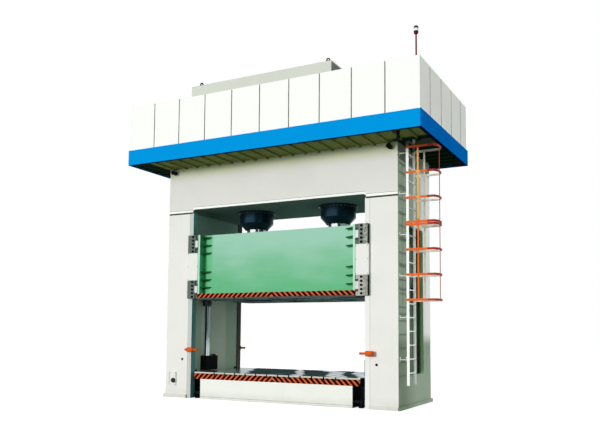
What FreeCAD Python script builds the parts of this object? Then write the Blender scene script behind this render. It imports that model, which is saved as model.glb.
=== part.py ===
"""Two-column hydraulic sheet press with a tie-rod frame, a guided slide and a roof platform.

Millimetres, +Z up, +X to the right and -Y towards the operator's front.
The origin is on the floor, half way between the two columns.
"""
import FreeCAD
import Part
import math
import os
from FreeCAD import Vector

# ---- frame -------------------------------------------------------------------------------
frame_depth = 2280.0          # front to back
opening_width = 4780.0        # clear between the columns
column_width = 760.0          # each column, left to right
column_height = 4690.0        # floor to the joint under the crown
column_wall = 70.0
column_top_plate = 100.0
foot_toe = 40.0               # how far the foot stands proud of the column
foot_height = 80.0
foot_chamber = 300.0          # open space under the foot plate for the tie-rod nuts
foot_plate = 120.0
window_width = 1160.0         # opening in each column's outer side
window_bottom = 710.0
window_top_gap = 590.0        # top edge, below the joint under the crown
window_corner = 60.0
crown_height = 2060.0
crown_wall = 80.0
crown_relief = 85.0           # how much higher the underside is between the columns
crown_relief_corner = 60.0
manhole_diameter = 450.0

# ---- guide rails and tie rods ------------------------------------------------------------
rail_width = 113.0
rail_depth = 175.0
rail_proud = 23.0             # how far a rail stands into the opening
tie_rod_diameter = 240.0
tie_rod_inset_side = 310.0    # rod centre, in from the column's outer side
tie_rod_inset_front = 340.0   # rod centre, in from the frame's front and back
tie_rod_nut = 380.0           # across the corners
tie_rod_nut_height = 180.0
tie_rod_end = 60.0            # thread that stands past each nut
tie_rod_tube_wall = 40.0
tie_rod_clearance = 10.0

# ---- bed and bolster ---------------------------------------------------------------------
bed_height = 485.0
bed_wall = 80.0
bed_web = 50.0
bed_cells = 4
pocket_width = 320.0          # corner pockets at both ends of the bed
pocket_depth = 290.0
bolster_gap = 140.0           # bolster's end, off the column
bolster_thickness = 175.0
slot_pitch = 300.0
slot_count = 12
slot_neck_width = 36.0
slot_neck_depth = 52.0
slot_base_width = 64.0
slot_base_depth = 28.0

# ---- levelling feet in the bed pockets ---------------------------------------------------
levelling_reach = 160.0       # from the apron's side to the screw
levelling_pad_diameter = 130.0
levelling_pad_height = 25.0
levelling_screw_diameter = 56.0
levelling_arm_bottom = 110.0
levelling_arm_height = 60.0
levelling_arm_width = 120.0
levelling_inset = 120.0       # screw centre, behind the frame's front face

# ---- main cylinders ----------------------------------------------------------------------
cylinder_spacing = 2360.0
barrel_diameter = 800.0
barrel_bore = 620.0
barrel_top_height = 80.0      # above the crown
barrel_cap = 230.0
barrel_flange_diameter = 960.0
barrel_flange = 40.0
nose_diameter = 875.0         # barrel below the crown
nose_length = 235.0
gland_length = 170.0
gland_tip_diameter = 610.0
gland_step = 30.0             # straight land above the taper
rod_diameter = 500.0
rod_flange_diameter = 720.0   # foot of the rod, bolted to the slide
rod_flange_height = 45.0
rod_flange_bevel = 8.0
piston_height = 200.0
piston_headroom = 100.0
running_clearance = 0.08      # round parts of the slide in their bores
seat_clearance = 0.3          # round parts that stand still in their bores

# ---- slide -------------------------------------------------------------------------------
slide_side_gap = 235.0        # slide's end, off the column
slide_proud = 70.0            # slide's front and back, past the frame's
slide_top_gap = 590.0         # below the joint under the crown, at the top of the stroke
slide_height = 1640.0
slide_plate_thickness = 150.0
slide_recess = 170.0          # front wall set back between the end plates
end_plate = 50.0
slide_wall = 60.0
slide_roof = 90.0
slide_web = 40.0
slide_cells = 5
gusset_reach = 260.0
gusset_thickness = 30.0
gusset_pitch = 195.0
gusset_rows = 3
gusset_top_gap = 70.0         # top gusset, below the slide's top
gusset_low_gap = 160.0        # lowest gusset, above the slide plate
gusset_setback = 20.0         # behind the end plate's front edge

# ---- guide shoes on the slide's corners --------------------------------------------------
guide_clearance = 0.5
shoe_height = 460.0
shoe_low_gap = 30.0           # lower shoe, above the slide's underside
shoe_front = 80.0             # thickness in front of the rail
shoe_lap = 98.0               # how far a shoe laps over the rail's face
keeper_gap = 10.0             # keeper bar, off the slide's end
keeper_width = 75.0
keeper_depth = 30.0           # groove for the keeper bar in the shoe's front
keeper_end_gap = 90.0         # keeper bar's ends, from the shoe's ends
shoe_bolt_count = 5
shoe_bolt_edge = 46.0         # outer bolts, from the shoe's ends
shoe_bolt_size = 60.0         # across the corners
shoe_bolt_height = 22.0
shoe_bolt_offset = 158.0      # from the slide's end
cover_depth = 62.0
cover_sheet = 4.0
cover_edge_gap = 10.0

# ---- slide lock: fixed rods that the slide's lock housings run on -------------------------
lock_rod_diameter = 150.0
lock_rod_setback = 620.0      # rod centre, in front of the press centre
lock_rod_top_gap = 740.0      # rod's end, below the joint under the crown
seat_lift = 20.0              # foot seat, above the bolster's top
seat_cap = 100.0              # solid end of each seat, past the rod's end
seat_height = 365.0
seat_front = 90.0             # from the rod centre to the seat's front
seat_back = 370.0
seat_inner_gap = 20.0         # clear of the slide's end
seat_boss_diameter = 120.0
seat_boss_height = 30.0
lock_bracket_depth = 300.0
lock_bracket_gap = 25.0       # off the column's inner face
lock_housing_diameter = 226.0
lock_housing_height = 140.0
lock_housing_gap = 7.0        # off the column's inner face
lock_housing_chamfer = 20.0

# ---- beam sensors on the column corners --------------------------------------------------
sensor_height = 1208.0
sensor_head_diameter = 120.0
sensor_head_length = 172.0
sensor_nose_diameter = 50.0
sensor_nose_length = 140.0
sensor_overlap = 13.0         # head's inner end, past the column's inner face
sensor_reach_in = 136.0       # the front left head's inner end, into the opening
sensor_base = 12.0
sensor_bevel = 18.0

# ---- roof platform -----------------------------------------------------------------------
overhang_left = 520.0         # platform's edges, past the frame's sides
overhang_right = 870.0
overhang_front = 1030.0
overhang_back = 430.0
platform_drop = 915.0         # platform's lower edge, below the crown's top
band_height = 381.0
band_plate = 12.0
band_flange = 80.0
deck_thickness = 12.0
joist_plate = 14.0
joist_pitch = 350.0
batten_width = 50.0
batten_height = 38.0
soffit_sheet = 4.0
hatch_wall_gap = 30.0         # hatch's edge, off the stiles towards the crown
hatch_edge_gap = 60.0         # hatch's edge, off the platform's edge
hatch_front_gap = 30.0        # hatch's edge, in front of the ladder
hatch_back_gap = 76.0         # hatch's edge, behind the ladder

# ---- fascia round the platform -----------------------------------------------------------
fascia_inset = 30.0
fascia_height = 1119.0
fascia_depth = 40.0
fascia_sheet = 3.0
fascia_gap = 15.0
fascia_panels = 10
side_corner_panel = 690.0
side_panel = 820.0
side_full_panels = 3
post_width = 70.0
post_depth = 40.0
post_drop = 35.0

# ---- oil tank on the crown ---------------------------------------------------------------
tank_nut_gap = 30.0           # tank's left end, off the tie-rod nuts
pump_bay = 1190.0             # from the tank's right end to the tie-rod nuts
tank_front_inset = 140.0
tank_back_inset = 240.0
tank_lift = 100.0             # feet under the tank
tank_height = 1228.0
tank_sheet = 8.0
tank_foot_width = 120.0
tank_foot_inset = 100.0
lid_thickness = 12.0
lug_width = 130.0
lug_height = 80.0
lug_thickness = 24.0
lug_hole = 44.0
lug_inset_left = 290.0
lug_inset_right = 45.0
lug_inset_depth = 40.0

# ---- pump sets on the crown --------------------------------------------------------------
pump_pitch = 560.0            # between the pump sets, which stand in the middle of the bay
motor_diameter = 340.0
motor_length = 560.0
motor_fins = 18
motor_fin_height = 16.0
motor_axis_height = 270.0
motor_front = 760.0
motor_end_cap = 50.0
motor_foot_width = 260.0
bell_length = 160.0
bell_tip_diameter = 210.0
pump_length = 260.0
pump_body_diameter = 200.0
pump_port_diameter = 90.0
pump_port_reach = 60.0

# ---- ladder and safety cage --------------------------------------------------------------
ladder_standoff = 200.0       # rung centres, off the column's side
ladder_setback = 44.0         # front stile, behind the frame's front
ladder_width = 462.0
stile_width = 60.0
stile_plate = 12.0
ladder_bottom = 540.0
ladder_joint = 4048.0
ladder_top_rise = 1034.0      # above the deck
rung_size = 26.0
first_rung = 800.0
rung_pitch = 300.0
bracket_first = 1090.0
bracket_pitch = 906.0
bracket_width = 50.0
bracket_plate = 12.0
bracket_pad = 110.0
hoop_reach = 635.0            # from the stile's far edge to the outermost bar
hoop_corner_run = 70.0
hoop_corner_rise = 124.0
hoop_bar = 50.0
hoop_plate = 8.0
hoop_top_gap = 71.0           # top hoop's upper edge, below the platform
hoop_pitch = 564.0
lower_hoop_pitch = 547.0
hoops_upper = 4
hoops_lower = 4
cage_joint_gap = 5.0
strap_width = 40.0
strap_plate = 6.0
strap_reach = 210.0

# ---- small fittings ----------------------------------------------------------------------
trunnion_diameter = 110.0
trunnion_length = 130.0
trunnion_inset = 175.0        # centre, in from the crown's ends
trunnion_drop = 60.0          # centre, below the platform's lower edge
socket_box_width = 190.0
socket_box_height = 330.0
socket_box_depth = 30.0
socket_box_inset = 233.0      # box centre, in from the column's outer side
socket_box_middle = 470.0
socket_diameter = 100.0
socket_depth = 45.0
socket_drop = 45.0
socket_shift = 35.0
beacon_inset_side = 150.0
beacon_inset_front = 170.0
beacon_pole_diameter = 34.0
beacon_rise = 515.0           # pole's end, above the fascia
beacon_foot_diameter = 120.0
beacon_foot = 12.0
beacon_diameter = 100.0
beacon_base_height = 50.0
beacon_lens_height = 75.0
beacon_cap_height = 55.0

# ---- values that follow from the sizes above ---------------------------------------------
half_depth = frame_depth / 2
half_opening = opening_width / 2
half_width = half_opening + column_width
rail_face = half_opening - rail_proud
rail_outer = rail_face + rail_width
rail_back = half_depth - rail_depth
window_top = column_height - window_top_gap
crown_top = column_height + crown_height
crown_soffit = column_height + crown_relief
tie_rod_x = half_width - tie_rod_inset_side
tie_rod_y = half_depth - tie_rod_inset_front
nut_inner = tie_rod_x - tie_rod_nut / 2
apron_half = half_opening - pocket_width
bolster_half = half_opening - bolster_gap
bolster_top = bed_height + bolster_thickness
slide_half = half_opening - slide_side_gap
slide_half_depth = half_depth + slide_proud
slide_top = column_height - slide_top_gap
slide_bottom = slide_top - slide_height
slide_plate_top = slide_bottom + slide_plate_thickness
cylinder_x = cylinder_spacing / 2
nose_bottom = crown_soffit - barrel_flange - nose_length
gland_bottom = nose_bottom - gland_length
barrel_top = crown_top + barrel_top_height
piston_top = barrel_top - barrel_cap - piston_headroom
shoe_face = half_depth + guide_clearance
shoe_outer = rail_face + shoe_lap
shoe_bolt_pitch = (shoe_height - 2 * shoe_bolt_edge) / (shoe_bolt_count - 1)
platform_left = half_width + overhang_left
platform_right = half_width + overhang_right
platform_front = half_depth + overhang_front
platform_back = half_depth + overhang_back
platform_bottom = crown_top - platform_drop
platform_top = platform_bottom + band_height
fascia_top = platform_top + fascia_height
tank_left = nut_inner - tank_nut_gap
tank_right = nut_inner - pump_bay
tank_front = half_depth - tank_front_inset
tank_back = half_depth - tank_back_inset
tank_bottom = crown_top + tank_lift
tank_top = tank_bottom + tank_height
pump_middle = tank_right + pump_bay / 2
lock_x = half_opening - lock_housing_gap - lock_housing_diameter / 2
seat_bottom = bolster_top + seat_lift
lock_rod_foot = seat_bottom + seat_cap
lock_rod_top = column_height - lock_rod_top_gap
ladder_x = half_width + ladder_standoff
ladder_front = half_depth - ladder_setback
ladder_rear = ladder_front - ladder_width
ladder_top = platform_top + ladder_top_rise
hoop_top = platform_bottom - hoop_top_gap
beacon_pole_top = fascia_top + beacon_rise
beacon_x = platform_right - beacon_inset_side
beacon_y = -(platform_front - beacon_inset_front)


# ---- building helpers --------------------------------------------------------------------
def block(x_low, x_high, y_low, y_high, z_low, z_high):
    """A rectangular block between its low and high corners."""
    size = Vector(x_high - x_low, y_high - y_low, z_high - z_low)
    return Part.makeBox(size.x, size.y, size.z, Vector(x_low, y_low, z_low))


def upright(x, y, diameter, z_low, z_high):
    """A vertical round bar."""
    return Part.makeCylinder(diameter / 2, z_high - z_low, Vector(x, y, z_low))


def plan_prism(points, z_low, z_high):
    """A closed outline in plan, raised from z_low to z_high."""
    corners = [Vector(x, y, z_low) for x, y in points]
    outline = Part.makePolygon(corners + corners[:1])
    return Part.Face(outline).extrude(Vector(0, 0, z_high - z_low))


def front_prism(points, y_low, y_high):
    """A closed outline seen from the front, run from y_low to y_high."""
    corners = [Vector(x, y_low, z) for x, z in points]
    outline = Part.makePolygon(corners + corners[:1])
    return Part.Face(outline).extrude(Vector(0, y_high - y_low, 0))


def turned(points, x=0.0, y=0.0):
    """A half section of (radius, height) points turned about a vertical axis."""
    corners = [Vector(radius, 0, z) for radius, z in points]
    outline = Part.makePolygon(corners + corners[:1])
    solid = Part.Face(outline).revolve(Vector(0, 0, 0), Vector(0, 0, 1), 360)
    solid.translate(Vector(x, y, 0))
    return solid


def hexagon(across, x, z):
    """The six corners of a hexagon seen from the front."""
    angles = [math.radians(60 * corner) for corner in range(6)]
    return [(x + across / 2 * math.cos(a), z + across / 2 * math.sin(a)) for a in angles]


def joined(shapes):
    """One solid from pieces that are welded together."""
    first, rest = shapes[0], shapes[1:]
    return first.multiFuse(rest).removeSplitter()


def grouped(shapes):
    """Separate like pieces that share one name."""
    return Part.makeCompound(shapes)


def flipped_x(shape):
    """The same piece on the other side, left for right."""
    return shape.mirror(Vector(0, 0, 0), Vector(1, 0, 0))


def flipped_y(shape):
    """The same piece on the other side, front for back."""
    return shape.mirror(Vector(0, 0, 0), Vector(0, 1, 0))


def pair_x(shape):
    """A piece and its mirror image on the other side."""
    return [shape, flipped_x(shape)]


def four_corners(shape):
    """A piece and its mirror images in all four corners."""
    pair = [shape, flipped_x(shape)]
    return pair + [flipped_y(piece) for piece in pair]


def even_places(low, high, pitch):
    """Evenly spaced places between two ends, no further apart than the pitch."""
    steps = max(1, math.ceil((high - low) / pitch))
    return [low + (high - low) * step / steps for step in range(1, steps)]


def tray(width, depth, height, sheet):
    """A folded sheet tray: face at y = 0, edges turned back, open behind."""
    outer = block(0, width, 0, depth, 0, height)
    hollow = block(sheet, width - sheet, sheet, depth, sheet, height - sheet)
    return outer.cut(hollow)


def save(name, shape):
    """Write one named piece."""
    if not shape.isValid():
        raise ValueError(name + " is not a valid shape")
    shape.exportStep("parts/" + name + ".step")


# ---- frame -------------------------------------------------------------------------------
def column_plan(inset):
    """Outline of the right column in plan, with its rail corners, set in by a wall."""
    inner = half_opening + inset
    rail = rail_outer + inset
    outer = half_width - inset
    step = rail_back - inset
    side = half_depth - inset
    return [
        (inner, -step), (rail, -step), (rail, -side), (outer, -side),
        (outer, side), (rail, side), (rail, step), (inner, step),
    ]


def column_window():
    """The round-cornered opening in the column's outer side."""
    cutter = block(
        half_width - 2 * column_wall, half_width + foot_toe,
        -window_width / 2, window_width / 2, window_bottom, window_top,
    )
    corners = [edge for edge in cutter.Edges if abs(edge.tangentAt(0).x) > 0.99]
    return cutter.makeFillet(window_corner, corners)


def tie_rod_places():
    """Centres of the four tie rods."""
    return [(x, y) for x in (-tie_rod_x, tie_rod_x) for y in (-tie_rod_y, tie_rod_y)]


def column():
    """Right column: a welded box with an open foot, a foot plate and a side window."""
    body = plan_prism(column_plan(0), 0, column_height)
    toe = block(
        rail_outer, half_width + foot_toe,
        -half_depth - foot_toe, half_depth + foot_toe, 0, foot_height,
    )
    body = joined([body, toe])
    chamber = plan_prism(column_plan(column_wall), 0, foot_chamber)
    cavity = plan_prism(
        column_plan(column_wall), foot_chamber + foot_plate, column_height - column_top_plate
    )
    cuts = [chamber, cavity, column_window()]
    for x, y in tie_rod_places():
        if x > 0:
            cuts.append(upright(x, y, tie_rod_diameter + 2 * tie_rod_clearance, 0, column_height))
    return body.cut(cuts)


def crown():
    """Crown: a welded box with tubes for the cylinders and the tie rods."""
    corner = crown_relief_corner
    profile = [
        (-half_width, column_height), (-half_opening, column_height),
        (-half_opening, crown_soffit - corner / 2), (-half_opening + corner, crown_soffit),
        (half_opening - corner, crown_soffit), (half_opening, crown_soffit - corner / 2),
        (half_opening, column_height), (half_width, column_height),
        (half_width, crown_top), (-half_width, crown_top),
    ]
    shell = front_prism(profile, -half_depth, half_depth)
    inside_low = crown_soffit + crown_wall
    inside_high = crown_top - crown_wall
    hollow = block(
        -half_width + crown_wall, half_width - crown_wall,
        -half_depth + crown_wall, half_depth - crown_wall, inside_low, inside_high,
    )
    tube_diameter = barrel_diameter + 2 * crown_wall
    rod_tube = tie_rod_diameter + 2 * (tie_rod_clearance + tie_rod_tube_wall)
    tubes = [upright(x, 0, tube_diameter, inside_low, inside_high) for x in (-cylinder_x, cylinder_x)]
    tubes += [upright(x, y, rod_tube, inside_low, inside_high) for x, y in tie_rod_places()]
    body = joined([shell.cut(hollow)] + tubes)
    bores = [
        upright(x, 0, barrel_diameter + 2 * seat_clearance, column_height, crown_top)
        for x in (-cylinder_x, cylinder_x)
    ]
    rod_bore = tie_rod_diameter + 2 * tie_rod_clearance
    bores += [upright(x, y, rod_bore, column_height, crown_top) for x, y in tie_rod_places()]
    bores.append(upright(0, 0, manhole_diameter, inside_high, crown_top))
    return body.cut(bores)


def bed():
    """Bed: a ribbed box open under the bolster, between the corner pockets."""
    body = block(-apron_half, apron_half, -half_depth, half_depth, 0, bed_height)
    inner = apron_half - bed_wall
    cell = (2 * inner - (bed_cells - 1) * bed_web) / bed_cells
    cells = []
    for place in range(bed_cells):
        left = -inner + place * (cell + bed_web)
        cells.append(block(
            left, left + cell, -half_depth + bed_wall, half_depth - bed_wall, bed_wall, bed_height,
        ))
    return body.cut(cells)


def bed_ends():
    """Blocks that join the bed to both columns, behind the corner pockets."""
    back = half_depth - pocket_depth
    return grouped(pair_x(block(apron_half, half_opening, -back, back, 0, bed_height)))


def t_slot_plate(half_length, half_run, back, face):
    """A plate with T-slots along Y in its face, which looks up or down."""
    down = -1 if face > back else 1
    neck_end = face + down * slot_neck_depth
    base_end = neck_end + down * slot_base_depth
    neck = slot_neck_width / 2
    base = slot_base_width / 2
    profile = [(-half_length, back), (-half_length, face)]
    for place in range(slot_count):
        middle = (place - (slot_count - 1) / 2) * slot_pitch
        profile += [
            (middle - neck, face), (middle - neck, neck_end),
            (middle - base, neck_end), (middle - base, base_end),
            (middle + base, base_end), (middle + base, neck_end),
            (middle + neck, neck_end), (middle + neck, face),
        ]
    profile += [(half_length, face), (half_length, back)]
    return front_prism(profile, -half_run, half_run)


def levelling_foot():
    """Levelling screw on an arm in the front right pocket of the bed."""
    x = apron_half + levelling_reach
    y = -half_depth + levelling_inset
    arm_top = levelling_arm_bottom + levelling_arm_height
    half_arm = levelling_arm_width / 2
    arm = block(apron_half, x + half_arm, y - half_arm, y + half_arm, levelling_arm_bottom, arm_top)
    pad = levelling_pad_diameter / 2
    screw = levelling_screw_diameter / 2
    spindle = turned([
        (0, 0), (pad, 0), (pad, levelling_pad_height), (screw, levelling_pad_height + screw),
        (screw, arm_top + screw), (0, arm_top + screw),
    ], x, y)
    return joined([arm, spindle])


def guide_rail():
    """Front right guide rail, let into the column's corner over its whole height."""
    return block(rail_face, rail_outer, -half_depth, -rail_back, 0, column_height)


def tie_rods():
    """Four tie rods through both columns and the crown."""
    low = foot_chamber - tie_rod_nut_height - tie_rod_end
    high = crown_top + tie_rod_nut_height + tie_rod_end
    return grouped([upright(x, y, tie_rod_diameter, low, high) for x, y in tie_rod_places()])


def tie_rod_nuts():
    """A hexagon nut at each end of each tie rod."""
    nuts = []
    bore = tie_rod_diameter + 2 * seat_clearance
    for x, y in tie_rod_places():
        for low in (foot_chamber - tie_rod_nut_height, crown_top):
            corners = [
                (x + tie_rod_nut / 2 * math.cos(math.radians(60 * c)),
                 y + tie_rod_nut / 2 * math.sin(math.radians(60 * c)))
                for c in range(6)
            ]
            nut = plan_prism(corners, low, low + tie_rod_nut_height)
            nuts.append(nut.cut(upright(x, y, bore, low, low + tie_rod_nut_height)))
    return grouped(nuts)


# ---- main cylinders ----------------------------------------------------------------------
def main_cylinder(x):
    """Barrel with its flange under the crown and a closed top."""
    outer = barrel_diameter / 2
    bore = barrel_bore / 2
    flange = barrel_flange_diameter / 2
    nose = nose_diameter / 2
    flange_bottom = crown_soffit - barrel_flange
    return turned([
        (bore, nose_bottom), (nose, nose_bottom), (nose, flange_bottom), (flange, flange_bottom),
        (flange, crown_soffit), (outer, crown_soffit), (outer, barrel_top), (0, barrel_top),
        (0, barrel_top - barrel_cap), (bore, barrel_top - barrel_cap),
    ], x)


def gland(x):
    """Tapered gland ring that closes the barrel round the piston rod."""
    bore = rod_diameter / 2 + running_clearance
    nose = nose_diameter / 2
    tip = gland_tip_diameter / 2
    return turned([
        (bore, gland_bottom), (tip, gland_bottom), (nose, nose_bottom - gland_step),
        (nose, nose_bottom), (bore, nose_bottom),
    ], x)


def piston_rod(x):
    """Piston and rod; the rod stands on the slide with its flange."""
    rod = rod_diameter / 2
    flange = rod_flange_diameter / 2
    flange_top = slide_top + rod_flange_height
    piston = barrel_bore / 2 - running_clearance
    return turned([
        (0, slide_top), (flange, slide_top), (flange, flange_top - rod_flange_bevel),
        (flange - rod_flange_bevel, flange_top), (rod, flange_top), (rod, piston_top - piston_height),
        (piston, piston_top - piston_height), (piston, piston_top), (0, piston_top),
    ], x)


# ---- slide -------------------------------------------------------------------------------
def gusset(z):
    """Triangular gusset in the front right corner between the wall and the end plate."""
    wall = slide_half_depth - slide_recess
    inner = slide_half - end_plate
    outline = [
        (inner, -wall), (inner, -slide_half_depth + gusset_setback), (inner - gusset_reach, -wall),
    ]
    return plan_prism(outline, z - gusset_thickness / 2, z + gusset_thickness / 2)


def gusset_heights():
    """Heights of the gussets beside the upper and the lower shoes."""
    upper = [slide_top - gusset_top_gap - row * gusset_pitch for row in range(gusset_rows)]
    lower = [slide_plate_top + gusset_low_gap + row * gusset_pitch for row in range(gusset_rows)]
    return upper + lower


def slide_body():
    """Slide: a ribbed box open below, with end plates that stand proud front and back."""
    inner = slide_half - end_plate
    wall = slide_half_depth - slide_recess
    outline = [
        (-slide_half, -slide_half_depth), (-inner, -slide_half_depth), (-inner, -wall),
        (inner, -wall), (inner, -slide_half_depth), (slide_half, -slide_half_depth),
        (slide_half, slide_half_depth), (inner, slide_half_depth), (inner, wall),
        (-inner, wall), (-inner, slide_half_depth), (-slide_half, slide_half_depth),
    ]
    body = plan_prism(outline, slide_plate_top, slide_top)
    cell = (2 * inner - (slide_cells - 1) * slide_web) / slide_cells
    cells = []
    for place in range(slide_cells):
        left = -inner + place * (cell + slide_web)
        cells.append(block(
            left, left + cell, -wall + slide_wall, wall - slide_wall,
            slide_plate_top, slide_top - slide_roof,
        ))
    gussets = []
    for z in gusset_heights():
        gussets += four_corners(gusset(z))
    return joined([body.cut(cells)] + gussets)


def shoe_levels():
    """Lower edges of the lower and the upper shoes."""
    return [slide_bottom + shoe_low_gap, slide_top - shoe_height]


def guide_shoe(low):
    """Front right guide shoe: laps the rail's inner side and its front."""
    front = -shoe_face - shoe_front
    groove_edge = slide_half + keeper_gap + keeper_width
    outline = [
        (slide_half, -rail_back), (rail_face - guide_clearance, -rail_back),
        (rail_face - guide_clearance, -shoe_face), (shoe_outer, -shoe_face),
        (shoe_outer, front), (groove_edge, front),
        (groove_edge, front + keeper_depth), (slide_half, front + keeper_depth),
    ]
    return plan_prism(outline, low, low + shoe_height)


def guide_shoe_pair():
    """Upper and lower shoe of the front right corner."""
    return grouped([guide_shoe(low) for low in shoe_levels()])


def shoe_bolts():
    """A row of hexagon heads on the front of each shoe."""
    heads = []
    x = slide_half + shoe_bolt_offset
    face = -shoe_face - shoe_front
    for low in shoe_levels():
        middle = low + shoe_height / 2
        for place in range(shoe_bolt_count):
            z = middle + (place - (shoe_bolt_count - 1) / 2) * shoe_bolt_pitch
            head = front_prism(hexagon(shoe_bolt_size, x, z), face - shoe_bolt_height, face)
            heads += four_corners(head)
    return grouped(heads)


def shoe_keepers():
    """A keeper bar in the groove of each shoe, beside the slide's end."""
    bars = []
    left = slide_half + keeper_gap
    front = -shoe_face - shoe_front
    for low in shoe_levels():
        bar = block(
            left, left + keeper_width, front, front + keeper_depth,
            low + keeper_end_gap, low + shoe_height - keeper_end_gap,
        )
        bars += four_corners(bar)
    return grouped(bars)


def guide_covers():
    """Sheet covers over the rails between the upper and the lower shoes."""
    low = shoe_levels()[0] + shoe_height
    high = shoe_levels()[1]
    left = slide_half + cover_edge_gap
    right = shoe_outer + cover_edge_gap
    cover = tray(right - left, cover_depth, high - low, cover_sheet)
    cover.translate(Vector(left, -shoe_face - shoe_front + cover_edge_gap, low))
    return grouped(four_corners(cover))


# ---- slide lock --------------------------------------------------------------------------
def lock_rods():
    """Two fixed rods beside the slide's ends."""
    rod = upright(lock_x, -lock_rod_setback, lock_rod_diameter, lock_rod_foot, lock_rod_top)
    return grouped(pair_x(rod))


def lock_rod_seat(low, high):
    """Seat block on the column's inner face, with its rod's socket."""
    y = -lock_rod_setback
    body = block(
        slide_half + seat_inner_gap, half_opening, y - seat_front, y + seat_back, low, high,
    )
    return body


def lock_rod_seats():
    """Foot and head seats of the lock rods."""
    y = -lock_rod_setback
    socket = upright(
        lock_x, y, lock_rod_diameter + 2 * seat_clearance, lock_rod_foot, lock_rod_top
    )
    foot = lock_rod_seat(seat_bottom, seat_bottom + seat_height)
    boss_y = y + seat_back - seat_boss_diameter / 2
    boss = upright(
        lock_x, boss_y, seat_boss_diameter,
        seat_bottom + seat_height, seat_bottom + seat_height + seat_boss_height,
    )
    head = lock_rod_seat(lock_rod_top + seat_cap - seat_height, lock_rod_top + seat_cap)
    pieces = [joined([foot, boss]).cut(socket), head.cut(socket)]
    return grouped(pieces + [flipped_x(piece) for piece in pieces])


def lock_brackets():
    """Brackets on the slide's ends that carry the lock housings."""
    y = -lock_rod_setback
    half = lock_bracket_depth / 2
    body = block(
        slide_half, half_opening - lock_bracket_gap, y - half, y + half,
        slide_bottom, slide_plate_top,
    )
    bore = upright(
        lock_x, y, lock_rod_diameter + 2 * running_clearance, slide_bottom, slide_plate_top
    )
    return grouped(pair_x(body.cut(bore)))


def lock_housings():
    """Round lock housings under the brackets."""
    outer = lock_housing_diameter / 2
    bore = lock_rod_diameter / 2 + running_clearance
    low = slide_bottom - lock_housing_height
    ring = turned([
        (bore, low), (outer - lock_housing_chamfer, low), (outer, low + lock_housing_chamfer),
        (outer, slide_bottom), (bore, slide_bottom),
    ], lock_x, -lock_rod_setback)
    return grouped(pair_x(ring))


# ---- beam sensor -------------------------------------------------------------------------
def beam_sensor(start):
    """Front right beam sensor: round head on a base, with a nose into the opening."""
    head = sensor_head_diameter / 2
    nose = sensor_nose_diameter / 2
    end = start + sensor_head_length
    turned_body = turned([
        (0, start - sensor_nose_length), (nose, start - sensor_nose_length),
        (nose, start), (head - sensor_bevel, start), (head, start + sensor_bevel),
        (head, end - sensor_bevel), (head - sensor_bevel, end), (0, end),
    ])
    turned_body.rotate(Vector(0, 0, 0), Vector(0, 1, 0), 90)
    axis_y = -half_depth - sensor_base - head
    turned_body.translate(Vector(0, axis_y, sensor_height))
    base = block(start, end, axis_y, -half_depth, sensor_height - nose, sensor_height + nose)
    return joined([turned_body, base])


def beam_sensors():
    """A sensor on each corner; the front left one reaches further into the opening."""
    front_right = beam_sensor(half_opening + sensor_overlap)
    front_left = flipped_x(beam_sensor(half_opening - sensor_reach_in))
    rear_right = flipped_y(front_right)
    return grouped([front_right, front_left, rear_right, flipped_x(rear_right)])


# ---- roof platform -----------------------------------------------------------------------
def hatch_edges():
    """Low and high x, low and high y of the ladder hatch."""
    x_low = ladder_x - stile_width / 2 - hatch_wall_gap
    x_high = platform_right - hatch_edge_gap
    return x_low, x_high, -ladder_front - hatch_front_gap, -ladder_rear + hatch_back_gap


def edge_band():
    """Deep plate round the platform with a flange turned in below."""
    left, right = -platform_left, platform_right
    front, back = -platform_front, platform_back
    outer = block(left, right, front, back, platform_bottom, platform_top)
    inner = block(
        left + band_plate, right - band_plate, front + band_plate, back - band_plate,
        platform_bottom + band_plate, platform_top,
    )
    floor_hole = block(
        left + band_flange, right - band_flange, front + band_flange, back - band_flange,
        platform_bottom, platform_bottom + band_plate,
    )
    return outer.cut([inner, floor_hole])


def roof_sheet(low, high):
    """A sheet that fills the band round the crown, with the ladder hatch."""
    sheet = block(
        -platform_left + band_plate, platform_right - band_plate,
        -platform_front + band_plate, platform_back - band_plate, low, high,
    )
    crown_hole = block(-half_width, half_width, -half_depth, half_depth, low, high)
    x_low, x_high, y_low, y_high = hatch_edges()
    hatch = block(x_low, x_high, y_low, y_high, low, high)
    return sheet.cut([crown_hole, hatch])


def deck_plate():
    """Walking deck round the crown."""
    return roof_sheet(platform_top - deck_thickness, platform_top)


def soffit():
    """Sheet that closes the platform from below."""
    low = platform_bottom + band_plate + batten_height
    return roof_sheet(low, low + soffit_sheet)


def joist_runs(thickness):
    """Plan rectangles of everything that runs from the crown out to the edge band."""
    left = -platform_left + band_plate
    right = platform_right - band_plate
    front = -platform_front + band_plate
    back = platform_back - band_plate
    half = thickness / 2
    hatch_back = hatch_edges()[3]
    runs = []
    for x in even_places(left, right, joist_pitch):
        runs.append((x - half, x + half, front, -half_depth))
        runs.append((x - half, x + half, half_depth, back))
    for y_low, y_high in ((-half_depth, -half_depth + thickness), (half_depth - thickness, half_depth)):
        runs.append((left, -half_width, y_low, y_high))
    runs.append((half_width, right, half_depth - thickness, half_depth))
    runs.append((half_width, right, hatch_back, hatch_back + thickness))
    for y in even_places(-half_depth, half_depth, joist_pitch):
        runs.append((left, -half_width, y - half, y + half))
    for y in even_places(hatch_back, half_depth, joist_pitch):
        runs.append((half_width, right, y - half, y + half))
    return runs


def platform_joists():
    """Joists between the soffit sheet and the deck."""
    low = platform_bottom + band_plate + batten_height + soffit_sheet
    high = platform_top - deck_thickness
    return grouped([block(*run, low, high) for run in joist_runs(joist_plate)])


def soffit_battens():
    """Battens under the soffit sheet, resting on the band's flange."""
    low = platform_bottom + band_plate
    return grouped([block(*run, low, low + batten_height) for run in joist_runs(batten_width)])


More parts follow.
